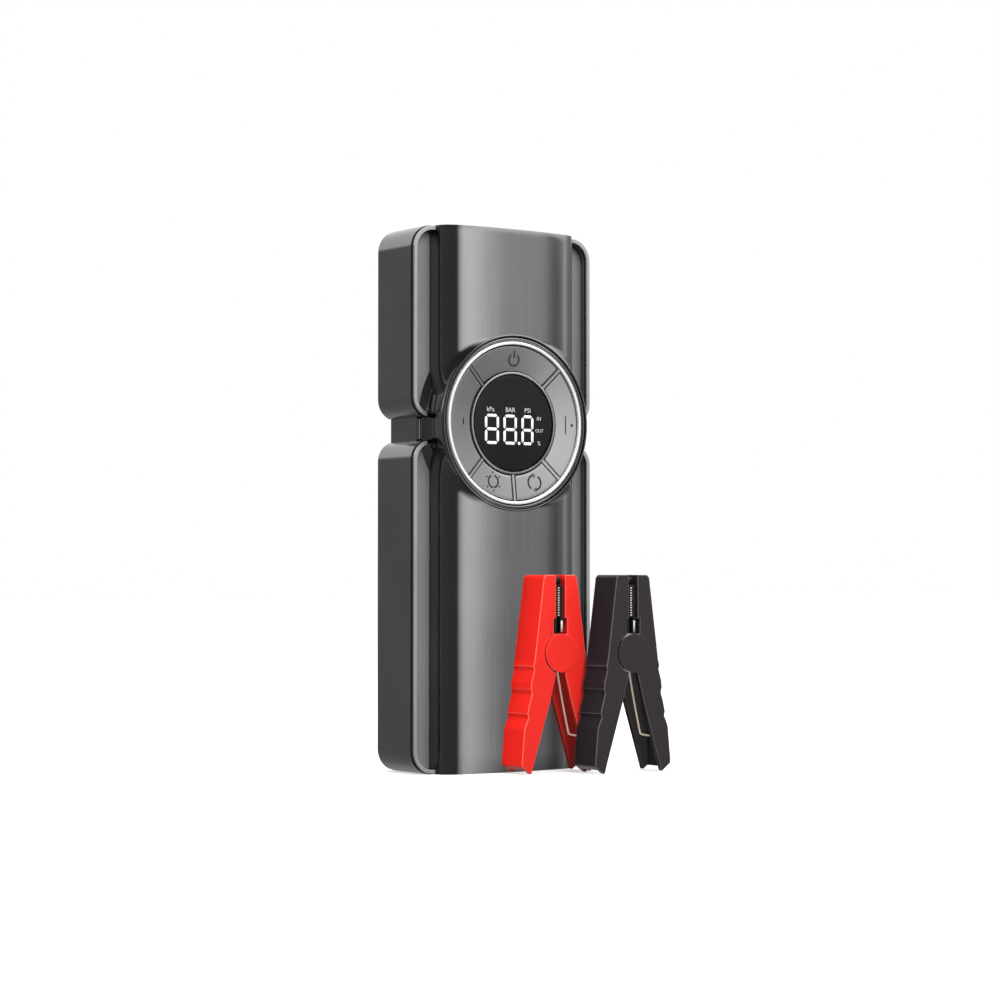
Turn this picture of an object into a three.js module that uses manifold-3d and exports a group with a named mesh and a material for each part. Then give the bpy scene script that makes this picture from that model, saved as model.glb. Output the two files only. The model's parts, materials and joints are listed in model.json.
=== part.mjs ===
// A jump starter pack with a built-in tyre pump, and its two battery clamps.
// Millimetres, +Z up. The origin is the middle of the pack's base. +X is the pack's right, -Y its front.

import * as THREE from 'three';
import { mergeVertices } from 'three/addons/utils/BufferGeometryUtils.js';
import Module from 'manifold-3d';

const wasm = await Module();
wasm.setup();

// ---------- Driving dimensions ----------
const GAP = 0.3;                 // between parts that rest on each other
const PACK_HEIGHT = 210;
const PACK_HALF_WIDTH = 42.3;
const RIM_Y = -13.4;             // front edge of the side guards' rims
const RECESS = 4.1;              // rim to the floor of the side strips
const STRIP_Y = RIM_Y + RECESS;
const CREST = 8.2;               // how far the front panel's crest stands before the rims
const GUARD_BACK_Y = RIM_Y + 25.1;
const BACK_Y = 21.6;
const WALL = 2;

const CORE_HALF_WIDTH = 36.7;
const CORE_FRONT_Y = -7;
const CORE_BACK_Y = 11.3;

const RIM_THICKNESS = 1.7;
const END_RADIUS = 9;            // guard corner at the top and bottom of the pack
const WAIST_RADIUS = 8;          // guard corner at the waist
const WAIST_Z = 131.85;
const WAIST_HALF_HEIGHT = 4.15;  // guard end to the waist's middle

const DIAL_Z = 134.8;
const DIAL_RADIUS = 33.5;
const DIAL_SIDES = 40;
const BEZEL_RADIUS = 31.6;
const BUTTON_OUTER_RADIUS = 29.85;
const BUTTON_INNER_RADIUS = 20.35;
const DISPLAY_RADIUS = 18.6;
const RIB_HALF_WIDTH = 0.6;
const RIB_GROOVE = 0.35;
const RIB_REACH = [19.5, 30];
const LIP = { inner: 18.95, outer: 19.95, top: 6.55 };  // inner lip of the button carrier
const DISH = { inner: 5.95, outer: 7.2 };               // the buttons' height at their inner and outer edges
const RIB_ANGLES = [45, 135, 225, 270, 315];
const PLUNGER_CIRCLE = 25;       // radius on which the buttons' plungers stand

const CELL = { low: 10, high: 106, left: -31, right: 19, thickness: 7 };
const PORT = { low: 38, high: 94, front: -5.5, back: 9.9, hingeX: 41, hingeY: 8 };

const PUMP_Y = 6;
const MOTOR_RADIUS = 12;
const CRANK_Z = 173;
const CRANK_THROW = 4;
const GEAR_DISTANCE = 15.25;
const GEAR_LINE = 122;           // degrees from +Y to the line from the crank to the motor
const TOOTH_MODULE = 0.625;
const CRANK_TEETH = 40;
const PINION_TEETH = 8;
const GEAR_X = [0.2, 3.7];
const CYLINDER_X = 6.7;
const OUTLET = { x: 26, y: 4 };

const CLAMP_HEIGHT = 76;
const CLAMP_HALF_THICKNESS = 6.8;
const PIVOT_Z = 46;
const EAR_RADIUS = 7.4;
const PIN_RADIUS = 2;
const WIRE_RADIUS = 0.55;        // spring wire
const V_HALF_ANGLE = 15;         // between a handle's inner edge and the clamp's middle
const CLAMPS = [
  { name: 'red_clamp', x: 10.2, frontY: -36.6, colour: 0xf23a30 },
  { name: 'black_clamp', x: 33.6, frontY: -51.8, colour: 0x3a393c },
];

// ---------- Materials ----------
const finish = (color, roughness, metalness) => new THREE.MeshStandardMaterial({ color, roughness, metalness });
const SHELL = finish(0x454448, 0.38, 0.35);
const PANEL = finish(0x808084, 0.3, 0.8);
const DARK_PLASTIC = finish(0x242427, 0.5, 0);
const CHROME = finish(0xe6e6e6, 0.12, 1);
const BUTTON = finish(0x88888b, 0.35, 0.6);
const GLASS = finish(0x101013, 0.08, 0);
const CIRCUIT = finish(0x1d5a36, 0.6, 0);
const CELL_WRAP = finish(0x9fa6ad, 0.4, 0.3);
const STEEL = finish(0xa9abad, 0.35, 1);
const BRASS = finish(0xc7a253, 0.3, 1);
const ALLOY = finish(0xb7b9bb, 0.45, 1);
const RUBBER = finish(0x1b1b1b, 0.85, 0);
const CLEAR = finish(0xf0f2f4, 0.1, 0);

// ---------- Solids ----------
function solid(geometry) {
  const bare = geometry.clone();
  bare.deleteAttribute('normal');
  bare.deleteAttribute('uv');
  const merged = mergeVertices(bare, 1e-4);
  const corners = merged.index.array;
  const triangles = [];
  for (let i = 0; i < corners.length; i += 3) {
    const [a, b, c] = corners.slice(i, i + 3);
    if (a !== b && b !== c && c !== a) triangles.push(a, b, c);
  }
  const mesh = new wasm.Mesh({
    numProp: 3,
    vertProperties: new Float32Array(merged.attributes.position.array),
    triVerts: new Uint32Array(triangles),
  });
  return new wasm.Manifold(mesh);
}

function surface(manifold) {
  const mesh = manifold.getMesh();
  const geometry = new THREE.BufferGeometry();
  geometry.setAttribute('position', new THREE.BufferAttribute(new Float32Array(mesh.vertProperties), 3));
  geometry.setIndex(new THREE.BufferAttribute(new Uint32Array(mesh.triVerts), 1));
  geometry.computeVertexNormals();
  return geometry;
}

const join = (...pieces) => surface(pieces.map(solid).reduce((all, piece) => all.add(piece)));
const cut = (body, ...tools) => surface(tools.map(solid).reduce((left, tool) => left.subtract(tool), solid(body)));
const common = (a, b) => surface(solid(a).intersect(solid(b)));

function box(x, y, z) {
  const geometry = new THREE.BoxGeometry(x[1] - x[0], y[1] - y[0], z[1] - z[0]);
  return geometry.translate((x[0] + x[1]) / 2, (y[0] + y[1]) / 2, (z[0] + z[1]) / 2);
}

function extrude(shape, depth, curveSegments = 6) {
  return new THREE.ExtrudeGeometry(shape, { depth, bevelEnabled: false, curveSegments });
}

// A shape drawn in x and y, drawn in x and z, or drawn in y and z, given its thickness along the third axis.
const alongZ = (shape, [low, high], segments) => extrude(shape, high - low, segments).translate(0, 0, low);
const alongY = (shape, [low, high], segments) =>
  extrude(shape, high - low, segments).rotateX(Math.PI / 2).translate(0, high, 0);
const alongX = (shape, [low, high], segments) =>
  extrude(shape, high - low, segments).rotateX(Math.PI / 2).rotateZ(Math.PI / 2).translate(low, 0, 0);

const rodY = (radius, [low, high], x, z, sides = 16) =>
  new THREE.CylinderGeometry(radius, radius, high - low, sides).translate(x, (low + high) / 2, z);
const rodZ = (radius, [low, high], x, y, sides = 16) =>
  new THREE.CylinderGeometry(radius, radius, high - low, sides)
    .rotateX(Math.PI / 2).translate(x, y, (low + high) / 2);
const rodX = (radius, [low, high], y, z, sides = 16) =>
  new THREE.CylinderGeometry(radius, radius, high - low, sides)
    .rotateZ(Math.PI / 2).translate((low + high) / 2, y, z);

function polygon(points) {
  const shape = new THREE.Shape();
  points.forEach(([a, b], i) => (i ? shape.lineTo(a, b) : shape.moveTo(a, b)));
  return shape;
}

// A ring or disc turned about the Y axis from a closed profile of [radius, y] points.
function turned(profile, sides) {
  const points = profile.map(([radius, y]) => new THREE.Vector2(radius, y));
  if (THREE.ShapeUtils.area(points) < 0) points.reverse();
  return new THREE.LatheGeometry([...points, points[0]], sides);
}

const pack = new THREE.Group();

function add(name, geometry, material, parent = pack) {
  const mesh = new THREE.Mesh(geometry, material);
  mesh.name = name;
  parent.add(mesh);
  return mesh;
}

// ---------- Outlines of the pack ----------
// A rectangle in x and z with its own radius at the top and at the bottom corners.
function roundedRect(halfWidth, low, high, lowRadius, highRadius) {
  const shape = new THREE.Shape();
  shape.moveTo(-halfWidth + lowRadius, low);
  shape.lineTo(halfWidth - lowRadius, low);
  shape.absarc(halfWidth - lowRadius, low + lowRadius, lowRadius, -Math.PI / 2, 0);
  shape.lineTo(halfWidth, high - highRadius);
  shape.absarc(halfWidth - highRadius, high - highRadius, highRadius, 0, Math.PI / 2);
  shape.lineTo(-halfWidth + highRadius, high);
  shape.absarc(-halfWidth + highRadius, high - highRadius, highRadius, Math.PI / 2, Math.PI);
  shape.lineTo(-halfWidth, low + lowRadius);
  shape.absarc(-halfWidth + lowRadius, low + lowRadius, lowRadius, Math.PI, 1.5 * Math.PI);
  return shape;
}

// The raised front panel's cross-section: a wall up from each strip, a rounded shoulder and a low crown.
function crownSection(inset) {
  const foot = 32.1 - inset;
  const wallTop = [31.7 - inset, RIM_Y - 0.3];
  const shoulder = [24.5 - inset * 0.4, RIM_Y - 6.35 + inset];
  const corner = [31.2 - inset, RIM_Y - 5.2 + inset * 0.9];
  const crestControl = 2 * (RIM_Y - CREST + inset) - shoulder[1];
  const base = STRIP_Y + (inset ? 5 : WALL);
  const shape = new THREE.Shape();
  shape.moveTo(-foot, base);
  shape.lineTo(-wallTop[0], wallTop[1]);
  shape.quadraticCurveTo(-corner[0], corner[1], -shoulder[0], shoulder[1]);
  shape.quadraticCurveTo(0, crestControl, shoulder[0], shoulder[1]);
  shape.quadraticCurveTo(corner[0], corner[1], wallTop[0], wallTop[1]);
  shape.lineTo(foot, base);
  return shape;
}

// ---------- Shells ----------
function coreFrame() {
  const outline = roundedRect(PACK_HALF_WIDTH, 0, PACK_HEIGHT, END_RADIUS, END_RADIUS);
  const depth = [CORE_FRONT_Y, CORE_BACK_Y];
  const sides = box([-CORE_HALF_WIDTH, CORE_HALF_WIDTH], depth, [0, PACK_HEIGHT]);
  const inner = CORE_HALF_WIDTH - WALL;
  const hollow = box([-inner, inner], [-20, 20], [WALL, PACK_HEIGHT - WALL]);
  const lampSlot = alongZ(slot(18.6, 6.6, -10, 3), [200, 220]);
  const hoseHole = rodZ(6, [200, 220], OUTLET.x, OUTLET.y);
  const portWindow = box([30, 40], [PORT.front, PORT.back], [PORT.low, PORT.high]);
  const tube = cut(common(alongY(outline, depth), sides), hollow, lampSlot, hoseHole, portWindow);
  const bosses = screwPlaces().map(([x, z]) => {
    const reach = x > 0 ? [30.2, inner + 0.5] : [-inner - 0.5, -30.2];
    return box(reach, [-2, CORE_BACK_Y - WALL - GAP], [z - 4, z + 4]);
  });
  const threads = screwPlaces().map(([x, z]) => rodY(1.35, [0, 20], x, z, 8));
  return cut(join(tube, ...bosses), ...threads);
}

// A long hole with round ends, in x and y.
function slot(halfLength, radius, x, y) {
  const shape = new THREE.Shape();
  const reach = halfLength - radius;
  shape.absarc(x + reach, y, radius, -Math.PI / 2, Math.PI / 2);
  shape.absarc(x - reach, y, radius, Math.PI / 2, 1.5 * Math.PI);
  return shape;
}

function frontFascia() {
  const inset = RIM_THICKNESS + GAP;
  const half = PACK_HALF_WIDTH - inset;
  const depth = [STRIP_Y, STRIP_Y + WALL];
  const waist = WAIST_HALF_HEIGHT + inset;
  const upper = roundedRect(half, WAIST_Z + waist, PACK_HEIGHT - inset, WAIST_RADIUS - inset, END_RADIUS - inset);
  const lower = roundedRect(half, inset, WAIST_Z - waist, END_RADIUS - inset, WAIST_RADIUS - inset);
  const bridge = box([-35.5, 35.5], depth, [WAIST_Z - waist - 1, WAIST_Z + waist + 1]);
  const crown = alongZ(crownSection(0), [0, PACK_HEIGHT], 6);
  const hollow = alongZ(crownSection(WALL), [WALL, PACK_HEIGHT - WALL], 6);
  const body = join(alongY(upper, depth), alongY(lower, depth), bridge, crown);
  const dialHole = rodY(DIAL_RADIUS + GAP, [-40, 0], 0, DIAL_Z, DIAL_SIDES);
  return cut(body, hollow, dialHole);
}

function rearCover() {
  const half = CORE_HALF_WIDTH - WALL - GAP;
  const depth = [CORE_BACK_Y - WALL, CORE_BACK_Y];
  const edge = WALL + GAP;
  const plate = roundedRect(half, edge, PACK_HEIGHT - edge, 3, 3);
  const spine = (inset) => {
    const base = 29 - inset;
    const top = 25 - inset;
    const shape = new THREE.Shape();
    shape.moveTo(base, CORE_BACK_Y - 1 - inset);
    shape.lineTo(base, CORE_BACK_Y + 3);
    shape.quadraticCurveTo(base - 0.3, BACK_Y - 1.2 - inset, top - 3, BACK_Y - inset);
    shape.lineTo(-top + 3, BACK_Y - inset);
    shape.quadraticCurveTo(-base + 0.3, BACK_Y - 1.2 - inset, -base, CORE_BACK_Y + 3);
    shape.lineTo(-base, CORE_BACK_Y - 1 - inset);
    return shape;
  };
  const raised = alongZ(spine(0), [4, PACK_HEIGHT - 4], 5);
  const hollow = alongZ(spine(WALL), [4 + WALL, PACK_HEIGHT - 4 - WALL], 5);
  const vents = [];
  for (let i = 0; i < 7; i += 1) {
    const z = 162 + i * 5;
    vents.push(box([-15, 15], [10, 30], [z, z + 1.8]));
  }
  const screwHoles = screwPlaces().map(([x, z]) => rodY(1.8, [0, 20], x, z, 8));
  return cut(join(alongY(plate, depth), raised), hollow, ...vents, ...screwHoles);
}

const screwPlaces = () => [[-31.8, 5.5], [31.8, 5.5], [-31.8, 204.5], [31.8, 204.5]];

function rearScrew() {
  const head = CORE_BACK_Y + GAP;
  const profile = [[0, head - 8], [1.15, head - 8], [1.15, head], [2.4, head], [2.4, head + 0.9],
    [1.6, head + 1.5], [0, head + 1.5]];
  const drive = box([-1.2, 1.2], [head + 0.8, head + 2], [-0.3, 0.3]);
  return cut(turned(profile, 12), drive);
}

// One guard covers a side above or below the waist: a side wall with a rim that stands round the front strip.
function sideGuard(side, [low, high], lowRadius, highRadius, waistAtLow) {
  const outline = roundedRect(PACK_HALF_WIDTH, low, high, lowRadius, highRadius);
  const t = RIM_THICKNESS;
  const inside = roundedRect(PACK_HALF_WIDTH - t, low + t, high - t, lowRadius - t, highRadius - t);
  const behindStrip = STRIP_Y + WALL + GAP;
  const whole = alongY(outline, [RIM_Y, GUARD_BACK_Y], 5);
  const recess = alongY(inside, [RIM_Y - 1, behindStrip], 5);
  const rimEnd = 32.5;
  const waistEnd = 35.9;
  const coreSide = CORE_HALF_WIDTH + GAP;
  const beyond = PACK_HALF_WIDTH + 9;
  const otherSide = box([-beyond, rimEnd], [-30, 30], [-5, 220]);
  const waistBand = waistAtLow ? [low - 1, low + 15] : [high - 15, high + 1];
  const waistTrim = box([0, waistEnd], [-30, 30], waistBand);
  const coreRoom = box([0, coreSide], [behindStrip, 30], [-5, 220]);
  const pocket = box([coreSide - 1, coreSide + 2.4], [-4, 9], [low + 12, high - 12]);
  const guard = cut(whole, recess, otherSide, waistTrim, coreRoom, pocket);
  return side > 0 ? guard : mirrored(guard);
}

function mirrored(geometry) {
  const flipped = geometry.clone().scale(-1, 1, 1);
  const corners = flipped.index.array;
  for (let i = 0; i < corners.length; i += 3) {
    [corners[i + 1], corners[i + 2]] = [corners[i + 2], corners[i + 1]];
  }
  flipped.computeVertexNormals();
  return flipped;
}

function portedGuard(guard) {
  const window = box([30, 50], [PORT.front, PORT.back], [PORT.low, PORT.high]);
  const pinHole = rodZ(1, [PORT.low - 3, PORT.high + 3], PORT.hingeX, PORT.hingeY, 8);
  return cut(guard, window, pinHole);
}

// ---------- Dial ----------
// y of a plane that stands the given distance before the guards' rims.
const before = (distance) => RIM_Y - distance;

function dialHousing() {
  const r = DIAL_RADIUS;
  const inside = r - 1.55;
  const profile = [[6, before(-5.8)], [6, before(-3.8)], [inside, before(-3.8)], [inside, before(7.45)],
    [r - 1.1, before(7.55)], [r - 0.3, before(7)], [r, before(6.5)], [r, before(-5.8)]];
  return cut(turned(profile, DIAL_SIDES));
}

function dialBezel() {
  const outer = BEZEL_RADIUS;
  const inner = outer - 1.25;
  const profile = [[inner, before(4)], [outer, before(4)], [outer, before(7.4)], [outer - 0.3, before(7.75)],
    [inner + 0.35, before(7.75)], [inner, before(7.4)]];
  return cut(turned(profile, DIAL_SIDES));
}

const polar = (radius, degrees) => [
  radius * Math.cos(THREE.MathUtils.degToRad(degrees)),
  radius * Math.sin(THREE.MathUtils.degToRad(degrees)),
];

const buttonSpans = () => RIB_ANGLES.map((start, i) => {
  const end = i + 1 < RIB_ANGLES.length ? RIB_ANGLES[i + 1] : RIB_ANGLES[0] + 360;
  return { start, end, middle: (start + end) / 2 };
});

// The room before the shallow dish that the buttons and the ribs lie in.
function dishRoom() {
  const slope = (DISH.outer - DISH.inner) / (BUTTON_OUTER_RADIUS - BUTTON_INNER_RADIUS);
  const edge = BUTTON_OUTER_RADIUS + 0.6;
  return turned([[LIP.outer - 0.5, before(LIP.top)], [LIP.outer, before(LIP.top)],
    [BUTTON_INNER_RADIUS, before(DISH.inner)], [edge, before(DISH.outer + 0.6 * slope)],
    [edge, before(9)], [LIP.outer - 0.5, before(9)]], DIAL_SIDES);
}

function buttonCarrier() {
  const plate = turned([[LIP.inner, before(2.5)], [BEZEL_RADIUS, before(2.5)], [BEZEL_RADIUS, before(3.7)],
    [LIP.outer, before(3.7)], [LIP.outer, before(LIP.top)], [LIP.inner, before(LIP.top)]], DIAL_SIDES);
  const ribs = RIB_ANGLES.map((angle) => {
    const rib = box(RIB_REACH, [before(DISH.outer + 0.5), before(3)], [-RIB_HALF_WIDTH, RIB_HALF_WIDTH]);
    return rib.rotateY(-THREE.MathUtils.degToRad(angle));
  });
  const holes = buttonSpans().map(({ middle }) => {
    const [x, z] = polar(PLUNGER_CIRCLE, middle);
    return rodY(2.2, [before(9), before(1)], x, z, 10);
  });
  return cut(join(plate, ...ribs), dishRoom(), ...holes);
}

function ringButton({ start, end, middle }) {
  const clear = RIB_HALF_WIDTH + RIB_GROOVE;
  const trim = (radius) => Math.asin(clear / radius);
  const from = THREE.MathUtils.degToRad(start);
  const to = THREE.MathUtils.degToRad(end);
  const outer = BUTTON_OUTER_RADIUS;
  const inner = BUTTON_INNER_RADIUS;
  const shape = new THREE.Shape();
  shape.absarc(0, 0, outer, from + trim(outer), to - trim(outer), false);
  shape.absarc(0, 0, inner, to - trim(inner), from + trim(inner), true);
  const cap = cut(alongY(shape, [before(DISH.outer), before(4.6)], 8), dishRoom());
  const [x, z] = polar(PLUNGER_CIRCLE, middle);
  const plunger = rodY(1.6, [before(5), before(2.25)], x, z, 8);
  return join(cap, plunger);
}

function domeSheet() {
  const sheet = turned([[19, before(0.75)], [31, before(0.75)], [31, before(1)], [19, before(1)]], 24);
  const domes = buttonSpans().map(({ middle }) => {
    const [x, z] = polar(PLUNGER_CIRCLE, middle);
    return new THREE.CylinderGeometry(2.2, 1, 0.7, 8).translate(x, before(1.2), z);
  });
  return join(sheet, ...domes);
}

function addDial() {
  const dial = new THREE.Group();
  dial.position.set(0, 0, DIAL_Z);
  pack.add(dial);
  add('dial_housing', dialHousing(), SHELL, dial);
  add('dial_bezel_ring', dialBezel(), CHROME, dial);
  add('button_carrier', buttonCarrier(), DARK_PLASTIC, dial);
  const names = ['button_power', 'button_minus', 'button_lamp', 'button_mode', 'button_plus'];
  buttonSpans().forEach((span, i) => add(names[i], ringButton(span), BUTTON, dial));
  add('display_lens', rodY(DISPLAY_RADIUS, [before(6.25), before(5.4)], 0, 0, 32), GLASS, dial);
  add('display_module', rodY(17.6, [before(5.1), before(1.4)], 0, 0, 24), DARK_PLASTIC, dial);
  add('dome_sheet', domeSheet(), STEEL, dial);
  add('control_board', rodY(31, [before(0.4), before(-1.2)], 0, 0, 24), CIRCUIT, dial);
}

// ---------- Electrics ----------
function addBattery() {
  const { low, high, left, right, thickness } = CELL;
  const fronts = [-6, 1.4, 9];
  fronts.forEach((front, i) => {
    const inset = i === 2 ? 7 : 0;
    const pouch = box([left + inset, right], [front, front + thickness], [low, high - 4]);
    const tabs = box([left + inset + 10, right - 10], [front + 3, front + 4], [high - 5, high]);
    add(`battery_cell_${i + 1}`, join(pouch, tabs), CELL_WRAP);
  });
  add('main_board', box([-27, 27], [-12, -10.4], [8, 96]), CIRCUIT);
}

function jumpSocket() {
  const block = box([24, 39.6], [-4.5, 7.5], [40, 66]);
  const holes = [47, 59].map((z) => rodX(3.1, [28, 45], 1.5, z, 16));
  return cut(block, ...holes);
}

function usbSocket(width, height, depth, z, tongue) {
  const x = [39.6 - depth, 39.6];
  const y = 1.5;
  const shell = box(x, [y - height / 2, y + height / 2], [z - width / 2, z + width / 2]);
  const mouth = box([x[0] + 1, 45], [y - height / 2 + 0.5, y + height / 2 - 0.5],
    [z - width / 2 + 0.5, z + width / 2 - 0.5]);
  const blade = box([x[0] + 0.5, 38], [y - tongue, y + tongue], [z - width / 2 + 1.5, z + width / 2 - 1.5]);
  return join(cut(shell, mouth), blade);
}

function portCover() {
  const clear = 0.4;
  const z = [PORT.low + clear, PORT.high - clear];
  const plate = box([40.3, 42.1], [PORT.front + clear, PORT.hingeY], z);
  const knuckle = rodZ(1.25, z, PORT.hingeX, PORT.hingeY, 12);
  const bore = rodZ(1, [0, 200], PORT.hingeX, PORT.hingeY, 8);
  const fingerNotch = rodX(3, [41.4, 45], PORT.front + clear, (PORT.low + PORT.high) / 2, 16);
  return cut(join(plate, knuckle), bore, fingerNotch);
}

function addPorts() {
  add('jump_socket', jumpSocket(), DARK_PLASTIC);
  add('usb_a_socket', usbSocket(14, 6.5, 14, 74.5, 1), STEEL);
  add('usb_c_socket', usbSocket(9.4, 3.8, 8, 87, 0.35), STEEL);
  add('port_cover', portCover(), DARK_PLASTIC);
  const pin = rodZ(0.7, [PORT.low - 2.6, PORT.high + 2.6], PORT.hingeX, PORT.hingeY, 8);
  add('port_cover_pin', pin, STEEL);
}

function addLamp() {
  const lens = alongZ(slot(18.2, 6.2, -10, 3), [208.2, 209.6]);
  const cup = alongZ(slot(18.2, 6.2, -10, 3), [202.2, 207.9]);
  const bowl = alongZ(slot(16.6, 4.6, -10, 3), [203.2, 209]);
  add('lamp_lens', lens, CLEAR);
  add('lamp_reflector', cut(cup, bowl), CHROME);
  add('lamp_board', box([-28, 8], [-3, 9], [200.7, 201.9]), CIRCUIT);
}

// ---------- Tyre pump ----------
function motorAxis() {
  const [y, z] = polar(GEAR_DISTANCE, GEAR_LINE);
  return { y: PUMP_Y + y, z: CRANK_Z + z };
}

function gearShape(teeth, phaseDegrees) {
  const pitchRadius = (teeth * TOOTH_MODULE) / 2;
  const tip = pitchRadius + 0.75 * TOOTH_MODULE;
  const root = pitchRadius - TOOTH_MODULE;
  const step = (2 * Math.PI) / teeth;
  const phase = THREE.MathUtils.degToRad(phaseDegrees);
  const points = [];
  for (let i = 0; i < teeth; i += 1) {
    const middle = phase + i * step;
    for (const [radius, share] of [[root, -0.3], [tip, -0.11], [tip, 0.11], [root, 0.3]]) {
      const angle = middle + share * step;
      points.push([radius * Math.cos(angle), radius * Math.sin(angle)]);
    }
  }
  return polygon(points);
}

function crankGear() {
  const wheel = alongX(gearShape(CRANK_TEETH, GEAR_LINE), GEAR_X);
  const crankPin = rodX(1.2, [GEAR_X[1] - 0.5, 4.9], 0, -CRANK_THROW, 10);
  const bore = rodX(1.8, [-5, 10], 0, 0, 12);
  const lightening = [0, 120, 240].map((angle) => {
    const [y, z] = polar(7.4, 90 + angle);
    return rodX(2.2, [-5, 10], y, z, 6);
  });
  return cut(join(wheel, crankPin), bore, lightening[0], lightening[1], lightening[2]);
}

function coolingFan() {
  const x = [-29.6, -27.4];
  const hub = rodX(3, x, 0, 0, 12);
  const blades = [0, 72, 144, 216, 288].map((angle) => {
    const blade = box([-1.1, 1.1], [-0.4, 0.4], [2, 10.5]).rotateZ(0.6).translate((x[0] + x[1]) / 2, 0, 0);
    return blade.rotateX(THREE.MathUtils.degToRad(angle));
  });
  const bore = rodX(1.2, [-50, 0], 0, 0, 10);
  return cut(join(hub, ...blades), bore);
}

function pistonRod() {
  const x = [5.2, 8.2];
  const eyeZ = CRANK_Z - CRANK_THROW;
  const eye = rodX(4, x, PUMP_Y, eyeZ, 16);
  const shank = box([5.5, 7.9], [PUMP_Y - 1.8, PUMP_Y + 1.8], [143, eyeZ - 2]);
  const crown = rodZ(6.1, [140.5, 144.5], CYLINDER_X, PUMP_Y, 18);
  const eyeHole = rodX(1.5, [0, 20], PUMP_Y, eyeZ, 12);
  const groove = cut(rodZ(7, [141.6, 143.2], CYLINDER_X, PUMP_Y, 18),
    rodZ(5.1, [141, 144], CYLINDER_X, PUMP_Y, 18));
  return cut(join(eye, shank, crown), eyeHole, groove);
}

function pumpCylinder() {
  const barrel = rodZ(8, [137, 159.5], CYLINDER_X, PUMP_Y, 18);
  const fins = [143, 148, 153].map((z) => rodZ(8.9, [z, z + 1.2], CYLINDER_X, PUMP_Y, 18));
  const nipple = rodX(2, [CYLINDER_X + 6, 17], PUMP_Y, 139.2, 10);
  const bore = rodZ(6.6, [139.5, 170], CYLINDER_X, PUMP_Y, 18);
  const port = rodX(0.9, [CYLINDER_X + 5, 20], PUMP_Y, 139.2, 8);
  return cut(join(barrel, ...fins, nipple), bore, port);
}

function pumpBracket() {
  const x = [-3.9, -2.6];
  const plate = polygon([[-5, 142], [16.4, 142], [16.4, 182], [6, 199], [-13, 199], [-13, 176], [-5, 169.5]]);
  const foot = box([x[0], 14], [PUMP_Y + 9.2, PUMP_Y + 10.4], [136, 160]);
  const motor = motorAxis();
  const shaftHole = rodX(3, [-10, 5], motor.y, motor.z, 16);
  const axleHole = rodX(1.8, [-10, 5], PUMP_Y, CRANK_Z, 12);
  return cut(join(alongX(plate, x), foot), shaftHole, axleHole);
}

function outletTube() {
  const route = new THREE.CatmullRomCurve3([
    new THREE.Vector3(17.4, PUMP_Y, 139.2),
    new THREE.Vector3(22, PUMP_Y, 140),
    new THREE.Vector3(25.6, PUMP_Y - 0.5, 145),
    new THREE.Vector3(OUTLET.x, OUTLET.y, 160),
    new THREE.Vector3(OUTLET.x, OUTLET.y, 192),
  ]);
  const section = new THREE.Shape();
  section.absarc(0, 0, 2, 0, 2 * Math.PI);
  return new THREE.ExtrudeGeometry(section, { steps: 14, curveSegments: 4, extrudePath: route });
}

function airOutlet() {
  const profile = [[1.4, 192.4], [4.6, 192.4], [4.6, 200], [3.9, 200.6], [3.9, 209], [3.4, 209.5], [1.4, 209.5]];
  return cut(turned(profile, 20).rotateX(Math.PI / 2).translate(OUTLET.x, OUTLET.y, 0));
}

function addPump() {
  const can = rodX(MOTOR_RADIUS, [-26.8, -4.2], 0, 0, 32);
  const motor = motorAxis();
  const shaftLine = new THREE.Group();
  shaftLine.position.set(0, motor.y, motor.z);
  pack.add(shaftLine);
  add('motor_can', cut(can, rodX(1.35, [-50, 10], 0, 0, 10)), STEEL, shaftLine);
  add('motor_shaft', rodX(0.9, [-29.8, 4.4], 0, 0, 10), STEEL, shaftLine);
  const halfTooth = 180 / PINION_TEETH;
  const pinion = alongX(gearShape(PINION_TEETH, GEAR_LINE + 180 + halfTooth), GEAR_X);
  add('pinion_gear', cut(pinion, rodX(1.2, [-5, 10], 0, 0, 10)), BRASS, shaftLine);
  add('cooling_fan', coolingFan(), DARK_PLASTIC, shaftLine);

  const crankLine = new THREE.Group();
  crankLine.position.set(0, PUMP_Y, CRANK_Z);
  pack.add(crankLine);
  add('crank_gear', crankGear(), BRASS, crankLine);
  add('crank_axle', join(rodX(1.5, [-4.6, 4.2], 0, 0, 12), rodX(2.6, [-5.4, -4.3], 0, 0, 12)), STEEL, crankLine);

  add('piston_rod', pistonRod(), ALLOY);
  const ring = rodZ(6.35, [141.9, 142.9], CYLINDER_X, PUMP_Y, 18);
  const seal = cut(ring, rodZ(5.5, [140, 145], CYLINDER_X, PUMP_Y, 18));
  add('piston_seal', seal, RUBBER);
  add('pump_cylinder', pumpCylinder(), ALLOY);
  add('pump_bracket', pumpBracket(), STEEL);
  add('outlet_tube', outletTube(), RUBBER);
  add('air_outlet', airOutlet(), BRASS);
}

// ---------- Battery clamps ----------
// The right-hand lever's outline in x and z: jaw at the top, handle with three finger ridges, slanted foot.
const HANDLE_INSIDE = [[5.3, 26.5], [9.5, 13.6], [13.9, 0]];
const HANDLE_OUTSIDE = [[18.3, 3.2], [18.2, 6], [17.1, 17.4], [16.3, 19.4], [15.2, 21.6], [15.7, 23.2], [14.7, 27.2],
  [13.6, 30.6], [14.1, 32.4], [13.9, 35], [12.5, 39.6], [12.9, 41.2], [12.3, 43.2]];
const JAW_TIP = [[7.9, CLAMP_HEIGHT - 1.2], [6.7, CLAMP_HEIGHT], [2.2, CLAMP_HEIGHT]];
const JAW_STEP = [[2.2, 59.3], [3.2, 59.3], [3.2, 53.2], [0.3, 53.2]];

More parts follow.
